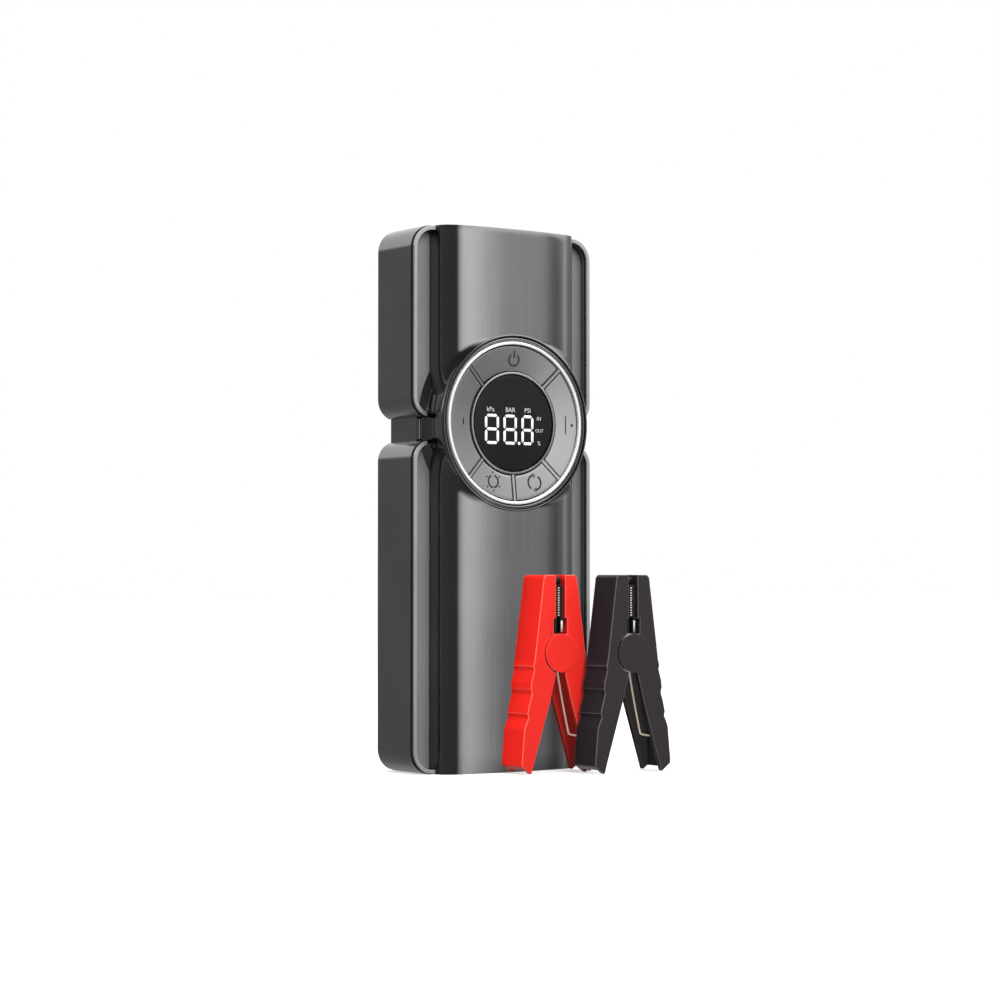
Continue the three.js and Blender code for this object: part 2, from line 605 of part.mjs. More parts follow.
function leverOutline() {
  const innerTop = PIVOT_Z - EAR_RADIUS - 0.2;
  const tangent = Math.tan(THREE.MathUtils.degToRad(V_HALF_ANGLE));
  const crotch = [(PIVOT_Z - innerTop) * tangent, innerTop];
  return polygon([crotch, ...HANDLE_INSIDE, ...HANDLE_OUTSIDE, ...JAW_TIP, ...JAW_STEP, [0.3, innerTop + 1]]);
}

function handleChannel() {
  const half = CLAMP_HALF_THICKNESS - 2;
  const outline = polygon([[-3, 41], [6.8, 41], [10.4, 37], [12, 31], [13.4, 22.5], [15.3, 16.5], [16.4, 7],
    [15.9, -1], [-3, -1]]);
  return alongY(outline, [-half, half]);
}

// EARS is where the levers' round ears lie across the clamp: the fixed lever's inside the moving one's.
const EARS = { fixed: [2.5, 4.5], moving: [4.8, 7.6] };

const earPair = (radius, [near, far]) => [
  rodY(radius, [near, far], 0, PIVOT_Z, 20),
  rodY(radius, [-far, -near], 0, PIVOT_Z, 20),
];

function lever(isMoving) {
  const half = CLAMP_HALF_THICKNESS;
  const plain = cut(alongY(leverOutline(), [-half, half]), handleChannel());
  const body = isMoving ? plain : mirrored(plain);
  const room = EAR_RADIUS + GAP;
  const rooms = isMoving
    ? [rodY(room, [-EARS.moving[0], EARS.moving[0]], 0, PIVOT_Z, 20)]
    : [...earPair(room, [EARS.fixed[1], 9]), rodY(room, [-EARS.fixed[0], EARS.fixed[0]], 0, PIVOT_Z, 20)];
  const ears = earPair(EAR_RADIUS, isMoving ? EARS.moving : EARS.fixed);
  const pinReach = CLAMP_HALF_THICKNESS + 0.1;
  const pinHole = rodY(PIN_RADIUS + GAP, [-pinReach, pinReach], 0, PIVOT_Z, 16);
  return cut(join(cut(body, ...rooms), ...ears), pinHole);
}

function jawPlate(side) {
  const teeth = 8;
  const low = 59.8;
  const pitch = (72 - low) / teeth;
  const points = [[1, 53.8], [1.9, 53.8], [1.9, 72], [0.9, 72]];
  for (let i = teeth; i > 0; i -= 1) {
    points.push([0.2, low + (i - 0.5) * pitch], [0.9, low + (i - 1) * pitch]);
  }
  const plate = cut(alongY(polygon(points), [-5.4, 5.4]));
  return side > 0 ? plate : mirrored(plate);
}

// A double torsion spring's wire: one leg down each handle, and a coil round the pivot pin between them.
function clampSpring() {
  const turns = 2.5;
  const coilRadius = 3.4;
  const halfWidth = 1.7;
  const points = [new THREE.Vector3(-14, -halfWidth, 13.6), new THREE.Vector3(-10.4, -halfWidth, 14.2),
    new THREE.Vector3(-4.9, -halfWidth, 37)];
  const steps = 30;
  for (let i = 0; i <= steps; i += 1) {
    const share = i / steps;
    const angle = Math.PI + share * turns * 2 * Math.PI;
    const y = -halfWidth + share * 2 * halfWidth;
    points.push(new THREE.Vector3(coilRadius * Math.cos(angle), y, PIVOT_Z - coilRadius * Math.sin(angle)));
  }
  points.push(new THREE.Vector3(4.9, halfWidth, 37), new THREE.Vector3(10.4, halfWidth, 14.2),
    new THREE.Vector3(14, halfWidth, 13.6));
  const section = polygon([0, 1, 2, 3, 4].map((i) => polar(WIRE_RADIUS, i * 72)));
  const route = new THREE.CatmullRomCurve3(points, false, 'catmullrom', 0.3);
  return new THREE.ExtrudeGeometry(section, { steps: 44, extrudePath: route });
}

function addClamp({ name, x, frontY, colour }) {
  const clamp = new THREE.Group();
  clamp.position.set(x, frontY + CLAMP_HALF_THICKNESS, 0);
  pack.add(clamp);
  const plastic = finish(colour, 0.42, 0);
  add(`${name}_fixed_lever`, lever(false), plastic, clamp);
  add(`${name}_moving_lever`, lever(true), plastic, clamp);
  add(`${name}_fixed_jaw_plate`, jawPlate(-1), STEEL, clamp);
  add(`${name}_moving_jaw_plate`, jawPlate(1), STEEL, clamp);
  add(`${name}_pivot_pin`, rodY(PIN_RADIUS, [-6.6, 6.6], 0, PIVOT_Z, 16), STEEL, clamp);
  add(`${name}_spring`, clampSpring(), STEEL, clamp);
}

// ---------- Assembly ----------
function addShells() {
  add('core_frame', coreFrame(), SHELL);
  add('front_fascia', frontFascia(), PANEL);
  add('rear_cover', rearCover(), SHELL);
  const upper = [WAIST_Z + WAIST_HALF_HEIGHT, PACK_HEIGHT];
  const lower = [0, WAIST_Z - WAIST_HALF_HEIGHT];
  for (const [label, side] of [['left', -1], ['right', 1]]) {
    add(`guard_upper_${label}`, sideGuard(side, upper, WAIST_RADIUS, END_RADIUS, true), SHELL);
    const guard = sideGuard(side, lower, END_RADIUS, WAIST_RADIUS, false);
    add(`guard_lower_${label}`, side > 0 ? portedGuard(guard) : guard, SHELL);
  }
  screwPlaces().forEach(([x, z], i) => {
    add(`rear_screw_${i + 1}`, rearScrew(), STEEL).position.set(x, 0, z);
  });
}

addShells();
addDial();
addBattery();
addPorts();
addLamp();
addPump();
CLAMPS.forEach(addClamp);

export default pack;
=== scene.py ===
"""Looks of a jump starter pack with a tyre pump and its two battery clamps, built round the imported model."""

import json
import math

import bmesh
import bpy
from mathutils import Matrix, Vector


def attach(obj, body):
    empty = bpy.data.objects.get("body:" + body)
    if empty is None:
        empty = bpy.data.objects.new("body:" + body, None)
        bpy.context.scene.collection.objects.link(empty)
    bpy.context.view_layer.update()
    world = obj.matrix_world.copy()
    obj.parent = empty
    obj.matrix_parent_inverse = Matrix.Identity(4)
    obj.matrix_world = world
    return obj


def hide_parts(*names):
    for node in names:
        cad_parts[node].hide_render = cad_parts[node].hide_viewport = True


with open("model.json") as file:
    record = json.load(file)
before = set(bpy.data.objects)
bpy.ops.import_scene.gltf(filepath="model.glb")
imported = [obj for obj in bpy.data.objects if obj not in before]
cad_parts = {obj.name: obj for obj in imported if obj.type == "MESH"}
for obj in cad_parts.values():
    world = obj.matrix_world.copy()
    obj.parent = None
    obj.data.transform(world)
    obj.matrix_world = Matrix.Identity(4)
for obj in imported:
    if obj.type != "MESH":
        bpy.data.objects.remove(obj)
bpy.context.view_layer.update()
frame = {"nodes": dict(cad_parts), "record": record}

# ---------- Driving dimensions, in millimetres ----------
MM = 0.001
HEIGHT = 210.0
HALF_WIDTH = 42.3
RIM_Y = -13.4
# The side strips' floor. Like everything on the front, it is measured from the rims towards the viewer.
STRIP = -4.1
STRIP_THICKNESS = 1.6
RIM = 1.7
SHELL_Y = RIM_Y + 1.9  # the guards' shells start behind the seam under their rims
GUARD_BACK_Y = 11.7
END_RADIUS, WAIST_RADIUS = 9.0, 8.0
WAIST_LOW, WAIST_HIGH = 127.7, 136.0
CORE_SIDE = 36.7
CORE_FRONT_Y, CORE_BACK_Y = -7.0, 11.3
SPINE_BACK_Y = 21.6
PORT_WINDOW = ((-5.5, 9.9), (38, 94))  # y and z
CROWN_FOOT, CROWN_WALL = 32.1, 31.7
SHOULDER, CREST = (24.5, 6.35), 8.2
DIAL_Z = 134.8
DIAL_RADIUS = 33.45
DIAL_HOLE = DIAL_RADIUS + 0.15
FLARE_RADIUS, FLARE_TOP = 4.7, 7.95
BUTTON_IN, BUTTON_OUT = 20.35, 29.85
PIVOT_Z = 46.0
CLAMP_HALF, JAW_HALF = 6.8, 5.4
CLAMPS = {"red": (10.2, -36.6), "black": (33.6, -51.8)}  # x of the middle, and y of the front face


def front(distance):
    """The y of a plane that stands the given distance before the guards' rims."""
    return RIM_Y - distance


# ---------- Mesh helpers ----------
def link(name, data):
    obj = bpy.data.objects.new(name, data)
    bpy.context.scene.collection.objects.link(obj)
    return obj


def mesh_from(name, points, faces):
    mesh = bpy.data.meshes.new(name)
    mesh.from_pydata([[c * MM for c in p] for p in points], [], faces)
    work = bmesh.new()
    work.from_mesh(mesh)
    bmesh.ops.remove_doubles(work, verts=work.verts, dist=2e-6)
    bmesh.ops.recalc_face_normals(work, faces=work.faces)
    work.to_mesh(mesh)
    work.free()
    mesh.shade_smooth()
    return link(name, mesh)


def axis_point(axis, a, b, c):
    return {"X": (c, a, b), "Y": (a, c, b), "Z": (a, b, c)}[axis]


def prism(name, outline, axis, low, high):
    n = len(outline)
    points = [axis_point(axis, a, b, c) for c in (low, high) for a, b in outline]
    faces = [tuple(range(n)), tuple(range(n, 2 * n))]
    faces += [(i, (i + 1) % n, (i + 1) % n + n, i + n) for i in range(n)]
    return mesh_from(name, points, faces)


def block(name, x, y, z):
    return prism(name, [(x[0], z[0]), (x[1], z[0]), (x[1], z[1]), (x[0], z[1])], "Y", *y)


def disc(name, radius, axis, low, high, a, b, sides=64):
    angles = arc_angles(0, 2 * math.pi, sides)[:-1]
    ring = [(a + radius * math.cos(t), b + radius * math.sin(t)) for t in angles]
    return prism(name, ring, axis, low, high)


def arc_angles(start, end, steps):
    return [start + (end - start) * i / steps for i in range(steps + 1)]


def rounded(corners, radius, steps=5):
    """A closed outline with its corners rounded. A corner may carry its own radius as a third number."""
    out = []
    for i, corner in enumerate(corners):
        p = Vector(corner[:2])
        u = Vector(corners[i - 1][:2]) - p
        v = Vector(corners[(i + 1) % len(corners)][:2]) - p
        limit = 0.49 * min(u.length, v.length)
        u.normalize()
        v.normalize()
        half = u.angle(v) / 2
        r = corner[2] if len(corner) > 2 else radius
        if r <= 0 or half > math.pi / 2 - 0.02:
            out.append(tuple(p))
            continue
        reach = min(r / math.tan(half), limit)
        r = reach * math.tan(half)
        centre = p + (u + v).normalized() * (r / math.sin(half))
        a, b = p + u * reach - centre, p + v * reach - centre
        start = math.atan2(a.y, a.x)
        turn = math.atan2(a.x * b.y - a.y * b.x, a.dot(b))
        for t in arc_angles(start, start + turn, steps):
            out.append((centre.x + r * math.cos(t), centre.y + r * math.sin(t)))
    return out


def turned(name, profile, x=0.0, z=DIAL_Z, sides=160):
    """A ring turned about the dial's axis from a closed profile of (radius, distance before the rims)."""
    points, faces = [], []
    n = len(profile)
    for i in range(sides):
        t = 2 * math.pi * i / sides
        points += [(x + r * math.cos(t), front(f), z + r * math.sin(t)) for r, f in profile]
        for j in range(n):
            k = (j + 1) % n
            a, b = i * n, ((i + 1) % sides) * n
            faces.append((a + j, a + k, b + k, b + j))
    return mesh_from(name, points, faces)


def finished_mesh(obj):
    """The object's mesh with its modifiers carried out."""
    graph = bpy.context.evaluated_depsgraph_get()
    return bpy.data.meshes.new_from_object(obj.evaluated_get(graph))


def combine(obj, tool, operation="DIFFERENCE"):
    modifier = obj.modifiers.new("combine", "BOOLEAN")
    modifier.object, modifier.operation, modifier.solver = tool, operation, "EXACT"
    mesh = finished_mesh(obj)
    obj.modifiers.clear()
    obj.data = mesh
    bpy.data.objects.remove(tool)
    return obj


def merge(name, objects):
    """One mesh from several objects that stay separate shells."""
    work = bmesh.new()
    for obj in objects:
        work.from_mesh(obj.data)
        bpy.data.objects.remove(obj)
    mesh = bpy.data.meshes.new(name)
    work.to_mesh(mesh)
    work.free()
    mesh.shade_smooth()
    return link(name, mesh)


def sharpen(obj, degrees):
    """Marks the edges that turn by more than the given angle as sharp."""
    obj.data.set_sharp_from_angle(angle=math.radians(degrees))


SHARP = math.radians(33)


def soften(obj, width=0.3, segments=3, wide=None):
    """Rounds the sharp edges. wide(middle point in mm) may give an edge its own width."""
    bevel = obj.modifiers.new("edges", "BEVEL")
    bevel.segments = segments
    if wide is None:
        bevel.limit_method, bevel.angle_limit, bevel.width = "ANGLE", SHARP, width * MM
    else:
        work = bmesh.new()
        work.from_mesh(obj.data)
        layer = work.edges.layers.float.new("bevel_weight_edge")
        widths = {}
        for edge in work.edges:
            if len(edge.link_faces) == 2 and edge.calc_face_angle(0) > SHARP:
                middle = (edge.verts[0].co + edge.verts[1].co) / 2 / MM
                widths[edge] = wide(middle) or width
        top = max(widths.values())
        for edge, size in widths.items():
            edge[layer] = size / top
        work.to_mesh(obj.data)
        work.free()
        bevel.limit_method, bevel.width = "WEIGHT", top * MM
    normals = obj.modifiers.new("normals", "WEIGHTED_NORMAL")
    normals.weight = 90
    return obj


def fit(obj, body, slot, material, *replaced):
    obj.data.materials.clear()
    obj.data.materials.append(material)
    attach(obj, body)
    if replaced:
        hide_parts(*replaced)
    return obj


# ---------- Camera and studio ----------
CAMERA_PLACE = (-571.3, -818.5, 77.36)
CAMERA_TURN, CAMERA_PITCH = 35.265, 1.611  # degrees to the right of the y axis, and upwards
CAMERA_LENS, CAMERA_SENSOR = 91.3, 36.0


def add_camera():
    data = bpy.data.cameras.new("camera")
    data.lens, data.sensor_width = CAMERA_LENS, CAMERA_SENSOR
    data.clip_start, data.clip_end = 0.01, 50.0
    camera = link("camera", data)
    turn, pitch = math.radians(CAMERA_TURN), math.radians(CAMERA_PITCH)
    level = math.cos(pitch)
    ahead = Vector((math.sin(turn) * level, math.cos(turn) * level, math.sin(pitch)))
    camera.location = Vector(CAMERA_PLACE) * MM
    camera.rotation_euler = ahead.to_track_quat("-Z", "Y").to_euler()
    bpy.context.scene.camera = camera


def set_inputs(tree, node, inputs):
    """Sets a node's inputs, by name or number, to values or links them to other nodes' outputs."""
    for key, value in inputs.items():
        if isinstance(value, bpy.types.NodeSocket):
            tree.links.new(value, node.inputs[key])
        else:
            node.inputs[key].default_value = value
    return node


def add_node(tree, kind, inputs=None):
    return set_inputs(tree, tree.nodes.new("ShaderNode" + kind), inputs or {})


def ramp(tree, stops, place):
    """The grey or the colour at a place along the stops."""
    node = add_node(tree, "ValToRGB", {0: place})
    elements = node.color_ramp.elements
    while len(elements) < len(stops):
        elements.new(0.5)
    for element, (position, level) in zip(elements, stops):
        element.position = position
        element.color = (level, level, level, 1) if isinstance(level, float) else (*level, 1)
    return node.outputs[0]


def calculated(tree, operation, *values):
    node = add_node(tree, "Math", dict(enumerate(values)))
    node.operation = operation
    return node.outputs[0]


def between(tree, share, a, b):
    """A number the given share of the way from a to b."""
    return add_node(tree, "Mix", {0: share, 2: a, 3: b}).outputs[0]


def either(tree, ray, other, chosen):
    """The chosen shader for the given kind of ray, and the other one for every other ray."""
    shares = {0: add_node(tree, "LightPath").outputs[ray], 1: other.outputs[0], 2: chosen.outputs[0]}
    return add_node(tree, "MixShader", shares)


WHITE = (1, 1, 1, 1)
# The studio's brightness round the pack, as (degrees to the right of its front, brightness). The heights are
# (share of the way from straight down to straight up, factor).
# Before the pack and to its right, brighter higher up:
HORIZON = [(-180, 0.0), (2, 0.0), (6, 0.2), (9, 0.4), (18, 0.48), (30, 0.46), (46.5, 0.46), (48.5, 0.2),
           (50.5, 0.06), (52, 0.06), (53.5, 0.5), (58, 0.62), (70, 0.3), (100, 0.2), (112, 0.0), (180, 0.0)]
HEIGHTS = [(0.0, 0.2), (0.39, 0.3), (0.46, 0.5), (0.55, 1.0), (0.605, 1.12), (1.0, 1.2)]
# The strip light, and the sides and the back, as bright low down as at eye level:
STRIP_LIGHT = [(4, 0.0), (9, 0.16), (15, 0.26), (19, 0.64), (22, 0.5), (25, 0.24), (28.5, 0.16), (31, 0.02),
               (34, 0.0)]
SIDES = [(-180, 0.34), (-163, 0.24), (-144, 0.165), (-125, 0.07), (0, 0.05), (12, 0.0), (98, 0.0), (112, 0.4),
         (180, 0.4)]
# The upper half of the studio, and the soft light low over its back left:
OVERHEAD = [(-180, 0.95), (-130, 0.9), (-112, 0.04), (9, 0.03), (22, 0.9), (60, 1.2), (150, 1.1),
            (180, 0.95)]
OVERHEAD_HEIGHTS = [(0.62, 0.0), (0.72, 1.0)]
BACK_LEFT = [(-180, 0.82), (-125, 0.78), (-110, 0.0), (130, 0.0), (160, 0.7), (180, 0.82)]
BACK_LEFT_HEIGHTS = [(0.6, 0.0), (0.625, 1.0)]


def add_world():
    world = bpy.data.worlds.new("studio")
    bpy.context.scene.world = world
    world.use_nodes = True
    tree = world.node_tree
    tree.nodes.clear()

    def made(operation, *values):
        return calculated(tree, operation, *values)

    x, y, z = add_node(tree, "SeparateXYZ", {0: add_node(tree, "TexCoord").outputs["Generated"]}).outputs
    azimuth = made("MULTIPLY_ADD", made("ARCTAN2", x, made("MULTIPLY", y, -1.0)), 0.5 / math.pi, 0.5)
    height = made("MULTIPLY_ADD", z, 0.5, 0.5)

    def round_about(table):
        return ramp(tree, [((degrees + 180) / 360, float(level)) for degrees, level in table], azimuth)

    ahead = made("MULTIPLY", round_about(HORIZON), ramp(tree, HEIGHTS, height))
    back = made("MULTIPLY", round_about(BACK_LEFT), ramp(tree, BACK_LEFT_HEIGHTS, height))
    even = made("ADD", round_about(STRIP_LIGHT), round_about(SIDES))
    below = made("ADD", made("ADD", ahead, even), back)
    level = between(tree, ramp(tree, OVERHEAD_HEIGHTS, height), below, round_about(OVERHEAD))
    studio = add_node(tree, "Background", {0: WHITE, 1: level})
    backdrop = add_node(tree, "Background", {0: WHITE, 1: 1.0})
    add_node(tree, "OutputWorld", {0: either(tree, "Is Camera Ray", studio, backdrop).outputs[0]})


LAMPS_AIM = Vector((0, -0.02, 0.1))


def add_softbox(name, azimuth, elevation, distance, size, watts):
    data = bpy.data.lights.new(name, "AREA")
    data.shape, data.size, data.energy = "DISK", size, watts
    lamp = link(name, data)
    a, e = math.radians(azimuth), math.radians(elevation)
    way = Vector((math.sin(a) * math.cos(e), -math.cos(a) * math.cos(e), math.sin(e)))
    lamp.location = LAMPS_AIM + way * distance
    lamp.rotation_euler = (-way).to_track_quat("-Z", "Y").to_euler()
    lamp.visible_glossy = False


def add_floor():
    """A floor that the camera sees as pale, that mirrors don't see, and that throws little light upwards."""
    floor = block("floor", (-6000, 6000), (-6000, 6000), (-6, -0.02))
    material = bpy.data.materials.new("floor_white")
    material.use_nodes = True
    tree = material.node_tree
    tree.nodes.clear()
    place = add_node(tree, "TexCoord").outputs["Object"]
    noise = add_node(tree, "TexNoise", {"Scale": 900.0, "Vector": place}).outputs[0]
    seen = add_node(tree, "BsdfPrincipled", {
        "Base Color": ramp(tree, [(0.3, 0.76), (0.7, 0.8)], noise), "Roughness": 0.9,
        "Emission Color": WHITE, "Emission Strength": 0.45})
    dim = add_node(tree, "BsdfDiffuse", {0: (0.12, 0.12, 0.12, 1)})
    rest = either(tree, "Is Glossy Ray", dim, add_node(tree, "BsdfTransparent"))
    add_node(tree, "OutputMaterial", {0: either(tree, "Is Camera Ray", rest, seen).outputs[0]})
    floor.data.materials.append(material)


# ---------- Materials ----------
def surface(name, colour, roughness, metallic=0.0, tone=0.1, grain=(700, 700, 700), rough_span=0.06,
            relief=0.15, depth=0.02, coat=0.0, specular=0.5, smudge=0.06):
    """A finish from two noises: a fine grain, which may be stretched into brush lines, and faint smudges."""
    material = bpy.data.materials.new(name)
    material.use_nodes = True
    tree = material.node_tree
    place = add_node(tree, "TexCoord").outputs["Object"]
    stretch = add_node(tree, "Mapping", {"Vector": place, "Scale": grain}).outputs[0]
    fine = add_node(tree, "TexNoise", {"Vector": stretch, "Scale": 1.0, "Detail": 3.0}).outputs[0]
    broad = add_node(tree, "TexNoise", {"Vector": place, "Scale": 28.0, "Detail": 2.0}).outputs[0]
    blend = between(tree, smudge / (smudge + tone + 1e-6), fine, broad)
    low = [c * (1 - tone - smudge) for c in colour]
    high = [min(1.0, c * (1 + tone + smudge)) for c in colour]
    rough = add_node(tree, "MapRange", {
        "Value": blend, "From Min": 0.3, "From Max": 0.7,
        "To Min": max(0.02, roughness - rough_span), "To Max": roughness + rough_span})
    bump = add_node(tree, "Bump", {"Strength": relief, "Distance": depth * MM, "Height": fine})
    set_inputs(tree, tree.nodes["Principled BSDF"], {
        "Base Color": ramp(tree, [(0.3, low), (0.7, high)], blend), "Roughness": rough.outputs[0],
        "Normal": bump.outputs[0], "Metallic": metallic, "Coat Weight": coat, "Coat Roughness": 0.12,
        "Specular IOR Level": specular})
    return material


def adjusted(material, inputs):
    set_inputs(material.node_tree, material.node_tree.nodes["Principled BSDF"], inputs)
    return material


def lit(name, colour, strength):
    light = {"Emission Color": (*colour, 1), "Emission Strength": strength}
    return adjusted(surface(name, colour, 0.4, tone=0.02, relief=0.0), light)


def glass(name, colour, roughness):
    return adjusted(surface(name, colour, roughness, tone=0.02, relief=0.05), {"Transmission Weight": 0.85})


BRUSH = (5200, 5200, 26)
PAINT = surface("shell_coat", (0.27, 0.265, 0.28), 0.2, 0.96, tone=0.02, grain=(2600,) * 3, rough_span=0.03,
                relief=0.02, coat=0.06)
PANEL = surface("brushed_panel", (0.44, 0.44, 0.455), 0.13, 1.0, tone=0.08, grain=BRUSH, rough_span=0.03,
                relief=0.1, depth=0.01)
# A darker copy of the brushed panel metal for the crown's side walls: painted shade where they face away from
# the light.
SHADED_WALL_METAL = surface("crown_wall_painted_shade", (0.2, 0.2, 0.205), 0.3, 1.0, tone=0.08, grain=BRUSH, relief=0.1)
STRIP_METAL = surface("brushed_strip", (0.3, 0.3, 0.31), 0.36, 0.4, tone=0.06, grain=BRUSH, relief=0.1)
# A lighter metal for the guards' rim fronts and the waist's front edge: a painted highlight on what is the
# shells' own dark paint.
RIM_HIGHLIGHT = surface("rim_painted_highlight", (0.72, 0.72, 0.74), 0.26, 0.85, tone=0.015, grain=(1500,) * 3,
                    rough_span=0.0, relief=0.0)
HOUSING = surface("dial_coat", (0.4, 0.395, 0.41), 0.2, 1.0, tone=0.03, grain=(2600,) * 3, relief=0.03)
# The chrome ring is near-white and barely metallic, so its brightness is a painted reflection rather than one
# mirrored from the studio.
BEZEL_SHINE = surface("bezel_painted_shine", (0.98, 0.98, 0.985), 0.22, 0.15, tone=0.012, grain=(1400,) * 3,
                relief=0.02)
BUTTON = surface("satin_button", (0.66, 0.66, 0.67), 0.25, 1.0, tone=0.03, grain=(3000,) * 3,
                 rough_span=0.03, relief=0.02)
# Real dark plastic for the carrier, the waist bridge and the kept parts; also used as painted shade in the
# guards' seams.
DARK = surface("dark_plastic_and_seam_shade", (0.02, 0.02, 0.022), 0.5, tone=0.2, grain=(2200,) * 3, relief=0.3)
INK = surface("engraved_ink", (0.03, 0.03, 0.032), 0.55, tone=0.2, grain=(2600,) * 3)
DISPLAY = surface("smoked_glass", (0.008, 0.008, 0.01), 0.08, tone=0.1, grain=(400,) * 3, relief=0.01,
                  specular=0.4)
LED = lit("display_light", (0.8, 0.8, 0.8), 0.62)
LABEL = lit("display_label", (0.6, 0.6, 0.6), 0.4)
STEEL = surface("nickel_steel", (0.6, 0.6, 0.61), 0.27, 1.0, grain=(1800, 1800, 1800), relief=0.15)
TEETH = surface("bright_steel", (0.92, 0.9, 0.86), 0.3, 0.25, tone=0.04, grain=(1800,) * 3)
JAWS = surface("dark_steel", (0.06, 0.055, 0.05), 0.35, 0.9, tone=0.05, grain=(1800,) * 3)
ALLOY = surface("cast_alloy", (0.5, 0.5, 0.51), 0.45, 1.0, grain=(1400,) * 3, relief=0.35)
# The spring wire glows a little: painted light that keeps it bright inside the levers' shade.
WIRE_GLOW = lit("spring_wire_painted_glow", (1.0, 0.84, 0.7), 0.3)
BRASS = surface("machined_brass", (0.6, 0.42, 0.14), 0.28, 1.0, grain=(2400,) * 3)
RUBBER = surface("soft_rubber", (0.012, 0.012, 0.013), 0.75, tone=0.2, grain=(1200,) * 3, relief=0.3)
CIRCUIT = surface("solder_mask", (0.02, 0.12, 0.05), 0.4, tone=0.2, grain=(500,) * 3, coat=0.3)
FOIL = surface("cell_wrap", (0.5, 0.52, 0.54), 0.4, 0.8, grain=(260,) * 3, relief=0.4, depth=0.1)
LENS = glass("clear_lens", (0.92, 0.94, 0.96), 0.06)
MIRROR = surface("reflector_chrome", (0.86, 0.86, 0.87), 0.12, 1.0, tone=0.02, relief=0.03)
RED = surface("moulded_red", (1.0, 0.023, 0.015), 0.38, tone=0.02, grain=(1900,) * 3, relief=0.04, coat=0.1)
# A lighter copy of the red for the levers' rounded edges and ridges: painted highlight.
RED_EDGE_HIGHLIGHT = surface("red_painted_highlight", (1.0, 0.13, 0.1), 0.3, tone=0.03, grain=(1900,) * 3, relief=0.05)
BLACK = surface("moulded_black", (0.023, 0.017, 0.021), 0.3, tone=0.08, grain=(1900,) * 3, relief=0.04,
                coat=0.6)
# A lighter copy of the black for the levers' rounded edges and ridges: painted highlight.
BLACK_EDGE_HIGHLIGHT = surface("black_painted_highlight", (0.1, 0.095, 0.1), 0.3, tone=0.05, grain=(1900,) * 3, relief=0.04)


# ---------- Front of the pack ----------
def bezier(a, control, b, steps):
    out = []
    for t in (i / steps for i in range(steps + 1)):
        weights = (1 - t) ** 2, 2 * t * (1 - t), t * t
        out.append(tuple(sum(w * c for w, c in zip(weights, places)) for places in zip(a, control, b)))
    return out


def crown_section():
    """Half of the raised panel's section, from its foot to its middle, as (x, distance before the rims)."""
    x, f = SHOULDER
    wall = [(CROWN_FOOT, STRIP), (CROWN_FOOT - 0.1, -3.0), (CROWN_FOOT - 0.25, -1.2), (CROWN_WALL, 0.3)]
    corner = bezier(wall[-1], (31.2, 5.2), SHOULDER, 18)
    crest = bezier(SHOULDER, (0.0, 2 * CREST - f), (-x, f), 48)[:25]
    return wall + corner[1:] + crest[1:]


def flared(x, z, base):
    """The panel's height near the dial, where it sweeps up to the dial's wall as a concave fillet."""
    d = max(0.0, math.hypot(x, z - DIAL_Z) - DIAL_HOLE)
    rise = FLARE_TOP - base
    if rise <= 0:
        return base
    foot = math.sqrt(2 * FLARE_RADIUS * rise - rise * rise) if rise < FLARE_RADIUS else FLARE_RADIUS
    if d >= foot:
        return base
    return base + FLARE_RADIUS - math.sqrt(FLARE_RADIUS ** 2 - (foot - d) ** 2)


# The room that the pump's fan turns in, behind the panel.
FAN_CENTRE = (-2.08, 185.93)  # y and z
FAN_ROOM_X, FAN_ROOM_RADIUS = (-30.6, -26.4), 10.9


def add_crown():
    """The raised panel above and below the dial, in rows that lie closer near it and step down at the end."""
    half = crown_section()
    section = [(-x, f) for x, f in half] + half[-2::-1]
    rows, back = 60, front(STRIP) + STRIP_THICKNESS
    parts = []
    for upward in (True, False):
        end = HEIGHT if upward else 0.0
        points, faces = [], []
        columns = len(section)
        for x, base in section:
            reach = math.sqrt(max(DIAL_HOLE ** 2 - x * x, 0.01))
            start = DIAL_Z + (reach if upward else -reach)
            for k in range(rows + 1):
                z = start + (end - start) * (k / rows) ** 1.9 * 0.997 if k < rows else end
                lowered = base - 0.3 if k == rows and base > STRIP + 0.1 else base
                points.append((x, front(flared(x, z, lowered)), z))
        for i in range(columns - 1):
            for k in range(rows):
                a = i * (rows + 1) + k
                faces.append((a, a + 1, a + rows + 2, a + rows + 1))
        outer = len(points)
        for x, _ in section:
            reach = math.sqrt(max(DIAL_HOLE ** 2 - x * x, 0.01))
            points += [(x, back, DIAL_Z + (reach if upward else -reach)), (x, back, end)]
        for i in range(columns - 1):
            near, far, b = i * (rows + 1), i * (rows + 1) + rows, outer + 2 * i
            faces.append((near, near + rows + 1, b + 2, b))
            faces.append((far, far + rows + 1, b + 3, b + 1))
            faces.append((b, b + 2, b + 3, b + 1))
        for i in (0, columns - 1):
            first = i * (rows + 1)
            faces.append((*range(first, first + rows + 1), outer + 2 * i + 1, outer + 2 * i))
        parts.append(mesh_from("crown", points, faces))
    fan_room = disc("fan_room", FAN_ROOM_RADIUS, "X", *FAN_ROOM_X, *FAN_CENTRE)
    parts[0] = combine(parts[0], fan_room)
    crown = merge("front_crown", parts)
    sharpen(crown, 40)
    fit(crown, "pack", "panel_metal", PANEL, "front_fascia")
    # Faces near and beyond the side walls take the darker copy, painted shade reaching a little onto the
    # corner.
    crown.data.materials.append(SHADED_WALL_METAL)
    for face in crown.data.polygons:
        face.material_index = int(abs(face.center.x) / MM > CROWN_WALL - 0.4)


def rounded_rect(half, low, high, low_radius, high_radius, steps=14):
    corners = [(-half, low, low_radius), (half, low, low_radius), (half, high, high_radius),
               (-half, high, high_radius)]
    return rounded(corners, 0, steps)


def without_middle(obj):
    """The object without the stretch that the crown fills."""
    groove = CROWN_FOOT + 0.12
    return combine(obj, block("middle", (-groove, groove), (-40, 0), (-5, HEIGHT + 5)))


